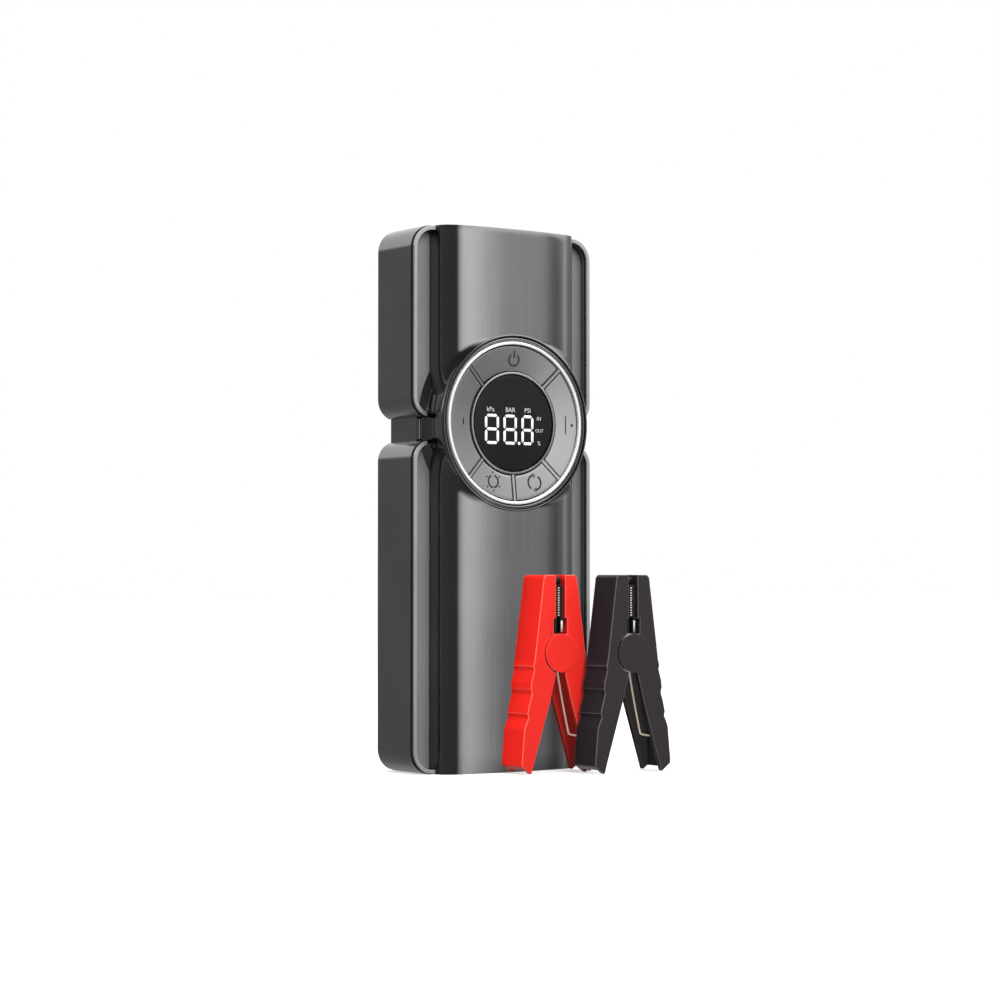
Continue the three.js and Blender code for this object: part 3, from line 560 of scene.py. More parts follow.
def add_strips():
    depth = (front(STRIP), front(STRIP) + STRIP_THICKNESS)
    half = HALF_WIDTH - RIM - 0.05
    upper = rounded_rect(half, WAIST_HIGH + 2, HEIGHT - 2, WAIST_RADIUS - 2, END_RADIUS - 2)
    lower = rounded_rect(half, 2, WAIST_LOW - 2, END_RADIUS - 2, WAIST_RADIUS - 2)
    strips = merge("side_strips", [prism("strips", outline, "Y", *depth) for outline in (upper, lower)])
    soften(without_middle(strips), 0.08, 2)
    strips.name = "side_strips"
    fit(strips, "pack", "panel_metal", STRIP_METAL, "front_fascia")

    start = DIAL_RADIUS + 0.2
    fillet = [(start, STRIP - 1), (start, STRIP + FLARE_RADIUS)]
    for t in arc_angles(0, math.radians(52), 10)[1:]:
        fillet.append((start + FLARE_RADIUS * (1 - math.cos(t)), STRIP + FLARE_RADIUS * (1 - math.sin(t))))
    fillet += [(start + 0.85 * FLARE_RADIUS, STRIP - 0.05), (start + 0.85 * FLARE_RADIUS, STRIP - 1)]
    tower = (front(8), front(STRIP) + 1)
    low, high = WAIST_LOW + 0.25, WAIST_HIGH - 0.25
    footprint = block("footprint", (-36.2, 36.2), tower, (low, high))
    for ends in ((100, WAIST_LOW - 2), (WAIST_HIGH + 2, 170)):
        footprint = combine(footprint, block("more", (-half, half), tower, ends), "UNION")
    for ends in ((WAIST_LOW - 2.5, low + 0.5), (high - 0.5, WAIST_HIGH + 2.5)):
        footprint = combine(footprint, block("more", (-35.5, 35.5), tower, ends), "UNION")
    skirt = without_middle(combine(turned("skirt", fillet), footprint, "INTERSECT"))
    sharpen(skirt, 35)
    skirt.name = "dial_skirt"
    fit(skirt, "pack", "panel_metal", PANEL, "front_fascia")

    wide, top = (-CORE_SIDE, CORE_SIDE), front(STRIP)
    # A thin light strip along the waist's front edge: a painted highlight where the bevel would catch the
    # light.
    edge = block("waist_edge_highlight", wide, (top + 0.2, top + 0.6), (low, high))
    fit(soften(edge, 0.1, 2), "pack", "panel_metal", RIM_HIGHLIGHT, "front_fascia")
    side = block("waist_side", wide, (top + 1.0, CORE_FRONT_Y - 0.05), (low, high))
    fit(soften(side, 0.15, 2), "pack", "shell_paint", PAINT, "front_fascia")
    bridge = [block("bridge", (-CORE_SIDE + 0.4, CORE_SIDE - 0.4), depth, (low, high)),
              block("bridge", (-35.5, 35.5), (depth[0] + 0.02, depth[1]), (WAIST_LOW - 3, WAIST_HIGH + 3))]
    fit(merge("waist_bridge", bridge), "pack", "dark_plastic", DARK, "front_fascia")


# ---------- Guards ----------
# How far from the middle a guard ends at the waist and at the pack's own end, and its bright rim there.
WAIST_END, PACK_END, RIM_PACK_END = 35.9, 32.5, 31.95


def side_path(inset, low, high, low_radius, high_radius, end_low, end_high):
    """A guard's outline from its lower rim end round the outside to its upper one, moved inwards by inset."""
    half = HALF_WIDTH
    points = [(0.0, low + inset)]
    for t in arc_angles(-math.pi / 2, 0, 16):
        points.append((half - low_radius + (low_radius - inset) * math.cos(t),
                       low + low_radius + (low_radius - inset) * math.sin(t)))
    for t in arc_angles(0, math.pi / 2, 16):
        points.append((half - high_radius + (high_radius - inset) * math.cos(t),
                       high - high_radius + (high_radius - inset) * math.sin(t)))
    points.append((0.0, high - inset))
    return clip_path(clip_path(points, end_low)[::-1], end_high)[::-1]


def clip_path(points, x_end):
    """Starts the path where it first passes x_end."""
    for i, (a, b) in enumerate(zip(points, points[1:])):
        if a[0] <= x_end < b[0]:
            share = (x_end - a[0]) / (b[0] - a[0])
            return [(x_end, a[1] + (b[1] - a[1]) * share)] + points[i + 1:]
    return points


def mirror(outline, side):
    return [(side * a, b) for a, b in outline]


def add_guard(level, side_name, side):
    upper = level == "upper"
    low, high = (WAIST_HIGH, HEIGHT) if upper else (0.0, WAIST_LOW)
    radii = (WAIST_RADIUS, END_RADIUS) if upper else (END_RADIUS, WAIST_RADIUS)
    ends = (WAIST_END, PACK_END) if upper else (PACK_END, WAIST_END)
    node = f"guard_{level}_{side_name}"
    outer = side_path(0.0, low, high, *radii, *ends)
    guard = prism(node + "_shell", mirror(outer, side), "Y", SHELL_Y, GUARD_BACK_Y)
    hollow = side_path(RIM, low, high, *radii, *ends)
    hollow = [(0.0, hollow[0][1])] + hollow + [(0.0, hollow[-1][1])]
    recess = prism("recess", mirror(hollow, side), "Y", RIM_Y - 2, CORE_FRONT_Y + 0.05)
    guard = combine(guard, recess)
    reach = sorted((side * 10, side * (CORE_SIDE + 0.3)))
    guard = combine(guard, block("core_room", reach, (CORE_FRONT_Y, 30), (-5, HEIGHT + 5)))
    if not upper and side > 0:
        guard = combine(guard, block("port_window", (30, 50), *PORT_WINDOW))

    def wide(middle):
        if abs(middle.y - GUARD_BACK_Y) < 0.01 and abs(middle.x) > CORE_SIDE + 1:
            return 1.0
        return 0.45 if abs(middle.y - SHELL_Y) < 0.01 and on_outline(middle, low, high, radii) else None

    soften(guard, 0.2, 3, wide)
    fit(guard, "pack", "shell_paint", PAINT, node)
    ends = (WAIST_END, RIM_PACK_END) if upper else (RIM_PACK_END, WAIST_END)

    def trim(part, near, far, depth):
        band = [side_path(inset, low, high, *radii, *ends) for inset in (near, far)]
        return prism(f"{node}_{part}", mirror(band[0] + band[1][::-1], side), "Y", *depth)

    # The seam band under the rim is dark plastic that stands in for the shadow in the gap: painted shade.
    fit(trim("seam", 0.4, RIM, (RIM_Y + 0.6, SHELL_Y + 0.1)), "pack", "dark_plastic", DARK, node)
    # The rim's front band takes the lighter metal, a painted highlight along the guard's edge.
    rim = soften(trim("rim", 0.35, RIM + 0.2, (RIM_Y, RIM_Y + 0.75)), 0.3, 3)
    fit(rim, "pack", "panel_metal", RIM_HIGHLIGHT, node)


def on_outline(point, low, high, radii):
    """Whether a point in mm lies on the outer line of the guard between the two heights."""
    x, z = abs(point.x), point.z
    for radius, centre_z in ((radii[0], low + radii[0]), (radii[1], high - radii[1])):
        distance = math.hypot(x - (HALF_WIDTH - radius), z - centre_z)
        beyond = z < centre_z if centre_z < (low + high) / 2 else z > centre_z
        if beyond and x > HALF_WIDTH - radius and abs(distance - radius) < 0.08:
            return True
    return x > HALF_WIDTH - 0.05 or abs(z - low) < 0.05 or abs(z - high) < 0.05


# ---------- Core and rear ----------
def long_hole(half_length, radius, x, y, steps=20):
    reach = half_length - radius
    right = [(x + reach + radius * math.cos(t), y + radius * math.sin(t))
             for t in arc_angles(-math.pi / 2, math.pi / 2, steps)]
    left = [(x - reach + radius * math.cos(t), y + radius * math.sin(t))
            for t in arc_angles(math.pi / 2, 1.5 * math.pi, steps)]
    return right + left


LAMP_SLOT = (18.6, 6.6, -10, 3)  # half its length, its radius, and the x and y of its middle
HOSE_HOLE_RADIUS, HOSE_HOLE = 6.0, (26, 4)  # the second is the x and y of its middle
TOP_CUT = (200, 220)  # the heights between which both are cut


def add_core():
    path = side_path(0.0, 0.0, HEIGHT, END_RADIUS, END_RADIUS, 0.0, 0.0)
    outline = [(min(x, CORE_SIDE), z) for x, z in path]
    outline = [p for i, p in enumerate(outline) if i == 0 or math.dist(p, outline[i - 1]) > 0.02]
    outline = outline + [(-x, z) for x, z in outline[::-1] if x > 0.01]
    core = prism("core_shell", outline, "Y", CORE_FRONT_Y, CORE_BACK_Y)
    inner = CORE_SIDE - 2
    core = combine(core, block("hollow", (-inner, inner), (-20, 20), (2, HEIGHT - 2)))
    core = combine(core, prism("lamp_slot", long_hole(*LAMP_SLOT), "Z", *TOP_CUT))
    core = combine(core, disc("hose_hole", HOSE_HOLE_RADIUS, "Z", *TOP_CUT, *HOSE_HOLE))
    core = combine(core, block("port_window", (30, 40), *PORT_WINDOW))
    soften(core, 0.5, 3)
    fit(core, "pack", "shell_paint", PAINT, "core_frame")


VENTS_LOW = range(162, 193, 5)  # heights of the vents' lower edges
VENT_HALF, VENT_HEIGHT = 15, 1.8
SCREWS_X, SCREWS_Z = (-31.8, 31.8), (5.5, 204.5)


def add_rear_cover():
    inner = CORE_SIDE - 2.3
    plate = rounded_rect(inner, 2.3, HEIGHT - 2.3, 3, 3, 6)
    cover = prism("plate", plate, "Y", CORE_BACK_Y - 2, CORE_BACK_Y)
    spine = prism("spine", rounded_rect(29, 4, HEIGHT - 4, 7, 7, 10), "Y", CORE_BACK_Y - 1, SPINE_BACK_Y)
    soften(spine, 3.2, 6, lambda m: 3.4 if m.y > SPINE_BACK_Y - 1.6 else None)
    rounded_spine = link("spine_final", finished_mesh(spine))
    bpy.data.objects.remove(spine)
    cover = combine(cover, rounded_spine, "UNION")
    inside = rounded_rect(27, 6, HEIGHT - 6, 5, 5, 6)
    cover = combine(cover, prism("inside", inside, "Y", 5, SPINE_BACK_Y - 2))
    for z in VENTS_LOW:
        top = z + VENT_HEIGHT
        vent = rounded([(-VENT_HALF, z), (VENT_HALF, z), (VENT_HALF, top), (-VENT_HALF, top)], 0.85)
        cover = combine(cover, prism("vent", vent, "Y", 8, 30))
    for x in SCREWS_X:
        for z in SCREWS_Z:
            cover = combine(cover, disc("screw_hole", 1.8, "Y", 5, 20, x, z, 32))
    cover.name = "rear_cover_shell"
    soften(cover, 0.25, 2)
    fit(cover, "pack", "shell_paint", PAINT, "rear_cover")


# ---------- Dial ----------
DISH_IN, DISH_RISE = 5.95, 1.25


def dish(radius):
    """Height of the buttons' shallow dish."""
    return DISH_IN + DISH_RISE * (radius - BUTTON_IN) / (BUTTON_OUT - BUTTON_IN)


def polar(radius, degrees):
    t = math.radians(degrees)
    return radius * math.cos(t), DIAL_Z + radius * math.sin(t)


def add_dial_rings():
    inside, floor = 31.95, -5.8
    lip = [(32.05, 7.8), (32.25, 8.15), (32.45, 8.3), (32.7, 8.27), (33.1, 8.0), (33.36, 7.66)]
    inner, outer = [(inside, floor), (inside, 7.6)], [(DIAL_RADIUS, 7.3), (DIAL_RADIUS, floor)]
    wall = turned("dial_cup", inner + lip + outer)
    base = [(6, floor), (6, floor + 2), (inside + 0.55, floor + 2), (inside + 0.55, floor)]
    cup = merge("dial_cup", [wall, turned("dial_cup_base", base, sides=80)])
    sharpen(cup, 50)
    fit(cup, "pack", "shell_paint", HOUSING, "dial_housing")

    def quarter(radius, start):
        return [(radius + 0.35 * math.cos(t), 7.55 + 0.45 * math.sin(t))
                for t in arc_angles(start, start + math.pi / 2, 6)]

    ring = [(30.37, 4.0), (31.65, 4.0)] + quarter(31.3, 0) + quarter(30.72, math.pi / 2)
    fit(turned("bezel_ring", ring, sides=200), "pack", "bezel_chrome", BEZEL_SHINE, "dial_bezel_ring")
    crest = [(33.58, 8.15), (33.66, 8.4), (33.8, 8.5), (33.95, 8.48), (34.2, 8.3), (34.38, 7.98)]
    bead = turned("dial_bead", [(33.58, 6.5)] + crest + [(34.42, 6.5)], sides=200)
    sharpen(bead, 50)
    fit(bead, "pack", "panel_metal", HOUSING, "front_fascia")


def sector(name, start, end, bottom, margin, rows=8, columns=48):
    """A piece of a ring whose ends run parallel to the ribs, with a top that follows the dish."""
    points = []
    for level in (0, 1):
        for i in range(rows + 1):
            r = BUTTON_IN + (BUTTON_OUT - BUTTON_IN) * i / rows
            trim = math.degrees(math.asin(margin / r))
            for j in range(columns + 1):
                x, z = polar(r, start + trim + (end - start - 2 * trim) * j / columns)
                points.append((x, front(dish(r) if level else bottom), z))
    per, width = (rows + 1) * (columns + 1), columns + 1
    faces = []
    for level in (0, per):
        for i in range(rows):
            for j in range(columns):
                a = level + i * width + j
                faces.append((a, a + 1, a + width + 1, a + width))
    rim = list(range(columns + 1)) + [i * width + columns for i in range(1, rows + 1)]
    rim += [rows * width + j for j in range(columns - 1, -1, -1)]
    rim += [i * width for i in range(rows - 1, 0, -1)]
    for a, b in zip(rim, rim[1:] + rim[:1]):
        faces.append((a, b, b + per, a + per))
    return mesh_from(name, points, faces)


# The degrees that each button starts and ends at, from three o'clock.
BUTTONS = {"power": (45, 135), "minus": (135, 225), "lamp": (225, 270), "mode": (270, 315),
           "plus": (315, 405)}
STEM_PLACE, STEM_RADIUS = 25, 1.6


def add_buttons():
    for use, (start, end) in BUTTONS.items():
        cap = soften(sector("cap", start, end, 4.6, 0.95), 0.24, 3)
        x, z = polar(STEM_PLACE, (start + end) / 2)
        stem = turned("stem", [(0.01, 2.25), (STEM_RADIUS, 2.25), (STEM_RADIUS, 5.0), (0.01, 5.0)], x, z, 24)
        shell = link("cap_final", finished_mesh(cap))
        bpy.data.objects.remove(cap)
        button = merge(f"key_{use}", [shell, stem])
        fit(button, f"button_{use}_body", "button_metal", BUTTON, f"button_{use}")


def add_carrier():
    section = [(18.95, 2.5), (18.95, 5.4), (19.6, 5.4), (19.6, 3.7), (31.6, 3.7), (31.6, 2.5)]
    plate = turned("carrier_plate", section)
    for start, end in BUTTONS.values():
        x, z = polar(STEM_PLACE, (start + end) / 2)
        hole = disc("stem_hole", STEM_RADIUS + 0.3, "Y", front(6), front(2), x, z, 32)
        plate = combine(plate, hole)
    plate.name = "carrier_plate"
    fit(soften(plate, 0.15, 2), "pack", "dark_plastic", DARK, "button_carrier")
    crest = [(18.95, 6.3), (19.1, 6.5), (19.5, 6.55), (19.85, 6.4), (19.95, 6.2)]
    lip = turned("lip", [(18.95, 5.3)] + crest + [(19.95, 5.3)])
    ribs = merge("dial_ribs", [lip] + [rib(start) for start, _ in sorted(BUTTONS.values())])
    sharpen(ribs, 35)
    fit(ribs, "pack", "button_metal", BUTTON, "button_carrier")


def rib(angle):
    """The flat line between two buttons."""
    t = math.radians(angle)
    along, across = Vector((math.cos(t), math.sin(t))), Vector((-math.sin(t), math.cos(t)))
    section = [(-0.7, 3.6), (-0.7, -0.12), (-0.55, 0.05), (0.55, 0.05), (0.7, -0.12), (0.7, 3.6)]
    near, far, pieces = 19.6, 30.25, 8
    points = []
    for r in (near + (far - near) * i / pieces for i in range(pieces + 1)):
        for offset, level in section:
            x, z = along * r + across * offset
            height = level if level > 1 else dish(r) + level
            points.append((x, front(height), DIAL_Z + z))
    n = len(section)
    faces = [tuple(range(n)), tuple(range(len(points) - n, len(points)))]
    for i in range(pieces):
        for j in range(n):
            k = (j + 1) % n
            faces.append((i * n + j, i * n + k, (i + 1) * n + k, (i + 1) * n + j))
    return mesh_from("rib", points, faces)


PRINT_RISE, PRINT_DEPTH = 0.03, 0.1  # how far the marks stand out, and reach in


def ribbon(path, width):
    """The left and the right side of a line of the given width along a path of (x, z) places."""
    left, right = [], []
    for i, p in enumerate(path):
        a, b = Vector(path[max(i - 1, 0)]), Vector(path[min(i + 1, len(path) - 1)])
        side = Vector((-(b - a).y, (b - a).x)).normalized() * (width / 2)
        left.append(tuple(Vector(p) + side))
        right.append(tuple(Vector(p) - side))
    return left, right


def line_mark(path, width):
    """A thin raised line that follows the dish."""
    points, faces = [], []
    for pair in zip(*ribbon(path, width)):
        for x, z in pair:
            top = dish(math.hypot(x, z))
            points += [(x, front(top + PRINT_RISE), DIAL_Z + z), (x, front(top - PRINT_DEPTH), DIAL_Z + z)]
    for a in range(0, 4 * len(path) - 4, 4):
        b = a + 4
        faces += [(a, b, b + 2, a + 2), (a + 1, a + 3, b + 3, b + 1)]
        faces += [(a, a + 1, b + 1, b), (a + 2, b + 2, b + 3, a + 3)]
    last = 4 * len(path) - 4
    faces += [(0, 2, 3, 1), (last, last + 1, last + 3, last + 2)]
    return mesh_from("mark", points, faces)


def arc_path(x, z, radius, start, end, steps=20):
    return [(x + radius * math.cos(t), z + radius * math.sin(t))
            for t in arc_angles(math.radians(start), math.radians(end), steps)]


LAMP_MARK, MODE_MARK = (-9.8, -22.8), (9.8, -22.9)


def add_icons():
    """The buttons' marks, as lines of (path, width)."""
    marks = {
        "power": [(arc_path(0, 24.6, 2.35, 125, 415), 0.68), ([(0, 25.2), (0, 28.0)], 0.68)],
        "minus": [([(-23.6, 1.3), (-23.6, -1.3)], 0.6)],
        "plus": [([(24.9, 3.6), (24.9, -3.6)], 0.42), ([(27.7, 0.55), (27.7, -0.55)], 0.9)],
        "mode": [(arc_path(*MODE_MARK, 2.9, 100, 235), 0.72), (arc_path(*MODE_MARK, 2.9, -80, 55), 0.72),
                 ([(9.0, -19.3), (10.3, -20.1), (9.2, -20.9)], 0.5),
                 ([(10.6, -24.9), (9.3, -25.7), (10.4, -26.5)], 0.5)],
        "lamp": [(arc_path(*LAMP_MARK, 2.35, 110, 265), 0.72), (arc_path(*LAMP_MARK, 2.35, -85, 70), 0.72)],
    }
    x, z = LAMP_MARK
    for angle in (90, 30, 150, 215, 325, 270):
        t = math.radians(angle)
        ray = [(x + r * math.cos(t), z + r * math.sin(t)) for r in (3.2, 3.9)]
        marks["lamp"].append((ray, 0.6))
    for use, lines in marks.items():
        parts = [line_mark(path, width) for path, width in lines]
        fit(merge(f"mark_{use}", parts), f"button_{use}_body", "dark_plastic", INK)


GLASS_TOP = 6.25
ON_GLASS = (front(GLASS_TOP + PRINT_RISE), front(GLASS_TOP - PRINT_DEPTH))
# Which way each of a digit's seven bars runs: its two ends as (x, z) shares of the digit's box.
BARS = [((0, 1), (1, 1)), ((0, 0.5), (1, 0.5)), ((0, 0), (1, 0)), ((0, 1), (0, 0.5)), ((1, 1), (1, 0.5)),
        ((0, 0.5), (0, 0)), ((1, 0.5), (1, 0))]
DIGIT_SIDES = ((-13.5, -6.9), (-4.8, 1.6), (3.8, 9.55))
DIGIT_LOW, DIGIT_HIGH, BAR_WIDTH = -8.4, 3.2, 1.1
LABELS = (("kPa", -10.9, 5.0, 1.9), ("BAR", -1.5, 5.0, 1.9), ("PSI", 6.7, 5.0, 1.9),
          ("IN", 12.2, 2.0, 1.6), ("OUT", 12.4, -2.7, 1.4), ("%", 12.2, -7.6, 1.7))


def bar(a, b):
    """One bar of a digit, with pointed ends."""
    along = (b - a).normalized()
    side = Vector((-along.y, along.x)) * (BAR_WIDTH / 2)
    point = along * BAR_WIDTH * 0.5
    start, end = a + along * 0.32, b - along * 0.32
    shape = [start, start + point + side, end - point + side, end, end - point - side, start + point - side]
    return prism("bar", [(p.x, DIAL_Z + p.y) for p in shape], "Y", *ON_GLASS)


def label(text, x, z, height):
    """Letters on the display, with their middle x and z from the dial's middle."""
    curve = bpy.data.curves.new(text, "FONT")
    curve.body, curve.size, curve.extrude = text, height * MM * 1.35, 0.05 * MM
    curve.align_x, curve.align_y = "CENTER", "CENTER"
    curve.offset = -0.02 * MM
    obj = link(text, curve)
    mesh = finished_mesh(obj)
    bpy.data.objects.remove(obj)
    for vertex in mesh.vertices:
        a, b, c = vertex.co
        vertex.co = (x * MM + a, front(GLASS_TOP) * MM - c * 0.6, (DIAL_Z + z) * MM + b)
    return link("label", mesh)


def add_display():
    edge = [(18.5, 5.4), (18.6, 5.5), (18.6, 6.0), (18.5, 6.15), (18.3, 6.22), (18.0, GLASS_TOP)]
    lens = turned("display_window", [(0.01, 5.4)] + edge + [(0.01, GLASS_TOP)], sides=120)
    sharpen(lens, 40)
    fit(lens, "pack", "display_glass", DISPLAY, "display_lens")
    parts = []
    for left, right in DIGIT_SIDES:
        low = Vector((left + BAR_WIDTH / 2, DIGIT_LOW + BAR_WIDTH / 2))
        high = Vector((right - BAR_WIDTH / 2, DIGIT_HIGH - BAR_WIDTH / 2))
        parts += [bar(low + (high - low) * Vector(a), low + (high - low) * Vector(b)) for a, b in BARS]
    left, low = 2.1, DIAL_Z + DIGIT_LOW
    right, high = left + BAR_WIDTH, low + BAR_WIDTH
    point = rounded([(left, low), (right, low), (right, high), (left, high)], 0.3)
    parts.append(prism("point", point, "Y", *ON_GLASS))
    fit(merge("display_digits", parts), "pack", "display_glass", LED)
    fit(merge("display_labels", [label(*line) for line in LABELS]), "pack", "display_glass", LABEL)


# ---------- Clamps ----------
# One lever of a clamp, as (x from the clamp's middle, z, corner radius), and the channel inside its handle.
HANDLE = [(2.0, 38.4, 0.5), (5.3, 26.5, 9), (9.5, 13.6, 9), (13.9, 0, 0.5), (18.35, 3.2, 0.9), (18.2, 6, 3),
          (17.1, 17.4, 4), (16.3, 19.4, 3), (15.2, 21.6, 0.9), (15.7, 23.2, 0.5), (14.7, 27.2, 8),
          (13.6, 30.6, 1), (14.1, 32.4, 0.5), (13.9, 35, 5), (12.5, 39.6, 1), (12.9, 41.2, 0.5),
          (12.3, 43.2, 2)]
JAW = [(7.95, 74.9, 0.9), (6.9, 76, 0.9), (2.2, 76, 0.3), (2.2, 59.3, 0), (3.2, 59.3, 0.2), (3.2, 53.2, 0.3),
       (0.3, 53.2, 0), (0.3, 39.4, 0)]
CHANNEL = [(-3, 41), (6.8, 41), (10.4, 37), (12, 31), (13.4, 22.5), (15.3, 16.5), (16.4, 7), (15.9, -1),
           (-3, -1)]
CHANNEL_HALF = 4.8
RIDGES = (23.3, 32.5, 41.3)  # heights of the finger ridges' lit edges
EARS = {"fixed": (2.5, 4.5), "moving": (4.8, 7.45)}  # how far from the clamp's middle the ears start and end
EAR_RADIUS = 7.4
PIN_HOLE_RADIUS = 2.3
TOOTH_COUNT, TOOTH_PITCH, TEETH_LOW = 12, 0.95, 60.2
TIP_HALF, TIP_HEIGHT = 0.33, 0.55


def add_lever(colour, kind, material, edge):
    x0, y0 = CLAMPS[colour]
    y0 += CLAMP_HALF
    side = 1 if kind == "moving" else -1

    def moved(outline):
        return [(x0 + side * a, b) for a, b in outline]

    lever = prism("lever", moved(rounded(HANDLE + JAW, 0.4)), "Y", y0 - CLAMP_HALF, y0 + CLAMP_HALF)
    channel = rounded([(*p, 2.0) for p in CHANNEL], 1)
    lever = combine(lever, prism("channel", moved(channel), "Y", y0 - CHANNEL_HALF, y0 + CHANNEL_HALF))
    near, far = EARS[kind]
    if kind == "moving":
        rooms = [(-near, near)]
    else:
        rooms = [(far, 9.0), (-9.0, -far), (-near, near)]
    for a, b in rooms:
        lever = combine(lever, disc("room", EAR_RADIUS + 0.3, "Y", y0 + a, y0 + b, x0, PIVOT_Z))
    for a, b in ((near, far), (-far, -near)):
        ear = disc("ear", EAR_RADIUS, "Y", y0 + a, y0 + b, x0, PIVOT_Z, 72)
        lever = combine(lever, ear, "UNION")
    lever = combine(lever, disc("pin_hole", PIN_HOLE_RADIUS, "Y", y0 - 6.9, y0 + 6.9, x0, PIVOT_Z, 32))
    lever.name = f"{colour}_{kind}_grip"

    # The edges round the pivot boss get a narrow bevel, so they carry only a thin painted highlight.
    def wide(middle):
        return 0.06 if abs(math.hypot(middle.x - x0, middle.z - PIVOT_Z) - EAR_RADIUS) < 0.1 else None

    soften(lever, 0.32, 3, wide)
    # The rounded edges take the second material, the lighter painted highlight.
    lever.modifiers["edges"].material = 1
    lever.modifiers["edges"].use_clamp_overlap = False
    lever.visible_glossy = False
    body = f"{colour}_lever_body" if kind == "moving" else f"{colour}_clamp_body"
    fit(lever, body, f"clamp_{colour}", material, f"{colour}_clamp_{kind}_lever")
    # The lighter copy is the painted highlight on the rounded edges and on the faces along the finger ridges.
    lever.data.materials.append(edge)
    for face in lever.data.polygons:
        x, z = abs(face.center.x / MM - x0), face.center.z / MM
        if x > 12 and any(abs(z - ridge) < 0.3 for ridge in RIDGES):
            face.material_index = 1


def add_teeth(colour):
    """The bright tips of the teeth along the jaws, with the rivet bar below and the stop above them."""
    x0, y0 = CLAMPS[colour]
    y = y0 + CLAMP_HALF - JAW_HALF
    depth = (y - 0.12, y + 0.4)
    heights = [TEETH_LOW + TOOTH_PITCH * i for i in range(TOOTH_COUNT)]
    tips = [block("tip", (x0 - TIP_HALF, x0 + TIP_HALF), depth, (z, z + TIP_HEIGHT)) for z in heights]
    tips.append(block("bar", (x0 + 1.0, x0 + 1.9), depth, (54.0, 58.4)))
    jaw_tips = fit(merge(f"{colour}_jaw_tips", tips), f"{colour}_clamp_body", "steel", TEETH)
    jaw_tips.visible_glossy = False
    stop = block(f"{colour}_jaw_stop", (x0 - 1.9, x0 + 1.2), (y + 0.8, y + 2 * JAW_HALF - 0.8), (72.3, 75.2))
    fit(stop, f"{colour}_clamp_body", "steel", JAWS).visible_glossy = False


def tube(name, points, radius, sides=12):
    """A round wire along a list of points."""
    rings, faces = [], []
    guide = Vector((0, 1, 0))
    for i, p in enumerate(points):
        ahead = (Vector(points[min(i + 1, len(points) - 1)]) - Vector(points[max(i - 1, 0)])).normalized()
        across = (guide - ahead * guide.dot(ahead)).normalized()
        other = ahead.cross(across)
        guide = across
        for j in range(sides):
            t = 2 * math.pi * j / sides
            rings.append(tuple(Vector(p) + (across * math.cos(t) + other * math.sin(t)) * radius))
    for i in range(len(points) - 1):
        for j in range(sides):
            k = (j + 1) % sides
            faces.append((i * sides + j, i * sides + k, (i + 1) * sides + k, (i + 1) * sides + j))
    faces += [tuple(range(sides)), tuple(range(len(rings) - sides, len(rings)))]
    return mesh_from(name, rings, faces)


def smooth_path(points, steps=8):
    """A Catmull-Rom curve through the points."""
    padded = [points[0]] + points + [points[-1]]
    out = []
    for corners in zip(padded, padded[1:], padded[2:], padded[3:]):
        a, b, c, d = (Vector(p) for p in corners)
        square, cube = 2 * a - 5 * b + 4 * c - d, 3 * b - a - 3 * c + d
        for t in (k / steps for k in range(steps)):
            out.append(0.5 * (2 * b + (c - a) * t + square * t * t + cube * t ** 3))
    return out + [Vector(points[-1])]


# A spring leg from its tip in the handle up to the coil, as (x from the clamp's middle, z).
SPRING_LEG = [(14.4, 13.4), (11.4, 13.9), (10.2, 14.4), (9.7, 15.6), (7.2, 26.0), (4.9, 37.0), (3.9, 42.0)]
COIL_RADIUS, COIL_REACH, COIL_TURNS, WIRE_RADIUS = 3.4, 1.7, 2.5, 0.34


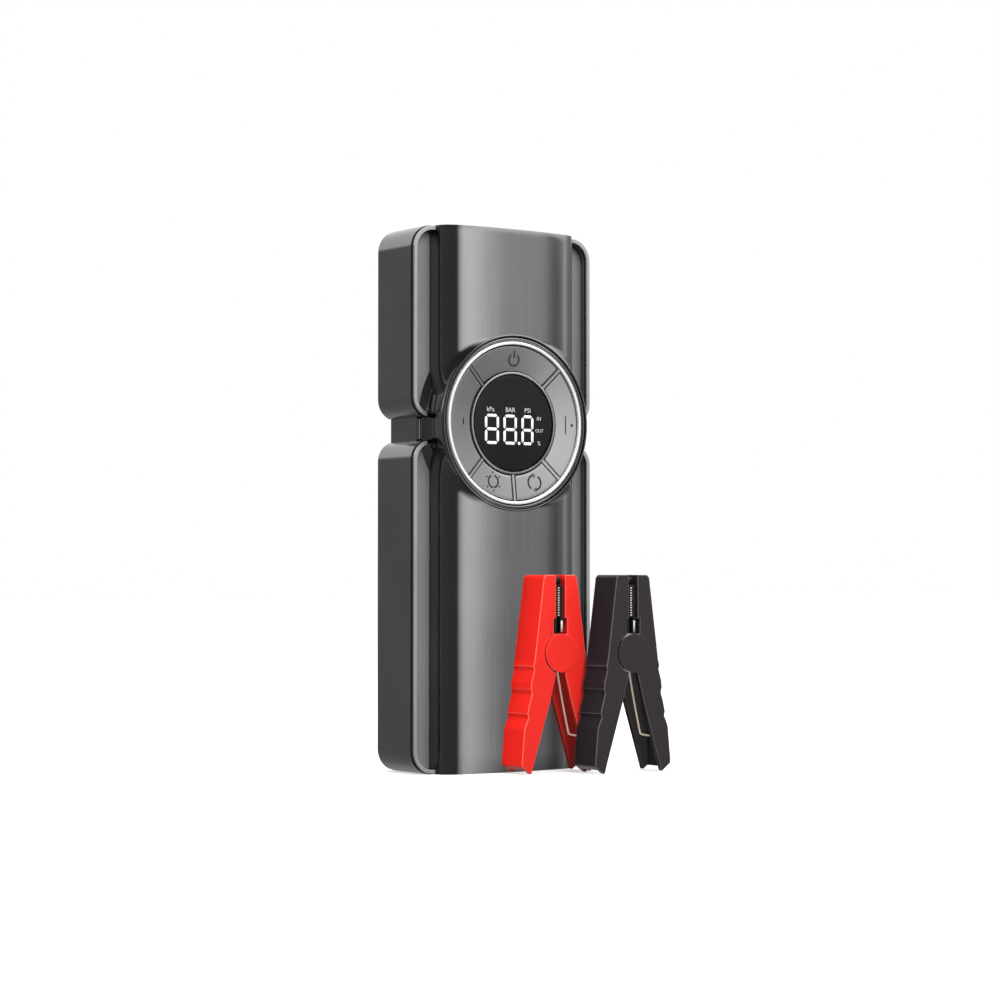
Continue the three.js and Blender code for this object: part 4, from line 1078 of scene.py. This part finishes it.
def add_spring(colour):
    """The spring in two pieces: the coil with the fixed lever's leg, and the moving lever's leg."""
    x0, y0 = CLAMPS[colour]
    y0 += CLAMP_HALF

    def leg(side):
        return [(x0 + side * x, y0 + side * COIL_REACH, z) for x, z in SPRING_LEG]

    coil = []
    for share in (i / 100 for i in range(101)):
        t = math.pi + share * COIL_TURNS * 2 * math.pi
        y = y0 - COIL_REACH + share * 2 * COIL_REACH
        coil.append((x0 + COIL_RADIUS * math.cos(t), y, PIVOT_Z - COIL_RADIUS * math.sin(t)))
    fixed = smooth_path(leg(-1)) + [Vector(p) for p in coil]
    moving = smooth_path(leg(1)) + [Vector(p) for p in coil[:80:-1]]
    node = f"{colour}_clamp_spring"
    for part, path, body in (("coil", fixed, "clamp_body"), ("leg", moving, "lever_body")):
        wire = tube(f"{colour}_spring_{part}", path, WIRE_RADIUS)
        # Both spring pieces carry the glowing wire finish, which is painted light.
        fit(wire, f"{colour}_{body}", "steel", WIRE_GLOW, node).visible_glossy = False


# ---------- CAD nodes that stay ----------
# The finish and the width of the rounded edges for each material slot.
KEPT = {
    "dark_plastic": (DARK, 0.25), "circuit_board": (CIRCUIT, 0.1), "cell_foil": (FOIL, 0.8),
    "steel": (STEEL, 0.15), "pump_alloy": (ALLOY, 0.25), "brass": (BRASS, 0.12),
    "seal_rubber": (RUBBER, 0.15), "lamp_glass": (LENS, 0.3), "bezel_chrome": (MIRROR, 0.2),
}


def dress_kept_nodes():
    """Gives each carried-over CAD node its finish and small rounded edges."""
    for entry in frame["record"]["subparts"]:
        name = entry["node"]
        node = frame["nodes"][name]
        if node.hide_render:
            continue
        material, width = KEPT[entry["material_slot"]]
        node.visible_glossy = "clamp" not in name
        node.data.materials.clear()
        node.data.materials.append(JAWS if "jaw_plate" in name else material)
        weld = node.modifiers.new("weld", "WELD")
        weld.merge_threshold = 1e-6
        flat = node.modifiers.new("flat", "DECIMATE")
        flat.decimate_type, flat.angle_limit = "DISSOLVE", math.radians(0.5)
        edges = node.modifiers.new("edges", "BEVEL")
        edges.width, edges.segments, edges.limit_method = width * MM, 2, "ANGLE"
        edges.angle_limit = math.radians(35)
        node.modifiers.new("normals", "WEIGHTED_NORMAL")
        node.data.shade_smooth()


bpy.context.scene.view_settings.view_transform = "Standard"
add_camera()
add_world()
add_floor()
add_softbox("key", -5, 35, 1.6, 1.3, 26)
add_softbox("fill_left", -95, 18, 1.6, 1.2, 20)
add_softbox("fill_right", 80, 30, 1.6, 1.2, 9)
add_softbox("top", -60, 80, 1.5, 1.0, 8)

add_crown()
add_strips()
for level in ("upper", "lower"):
    add_guard(level, "left", -1)
    add_guard(level, "right", 1)
add_core()
add_rear_cover()
add_dial_rings()
add_buttons()
add_carrier()
add_icons()
add_display()
for colour, material, edge in (("red", RED, RED_EDGE_HIGHLIGHT), ("black", BLACK, BLACK_EDGE_HIGHLIGHT)):
    add_lever(colour, "fixed", material, edge)
    add_lever(colour, "moving", material, edge)
    add_teeth(colour)
    add_spring(colour)
dress_kept_nodes()
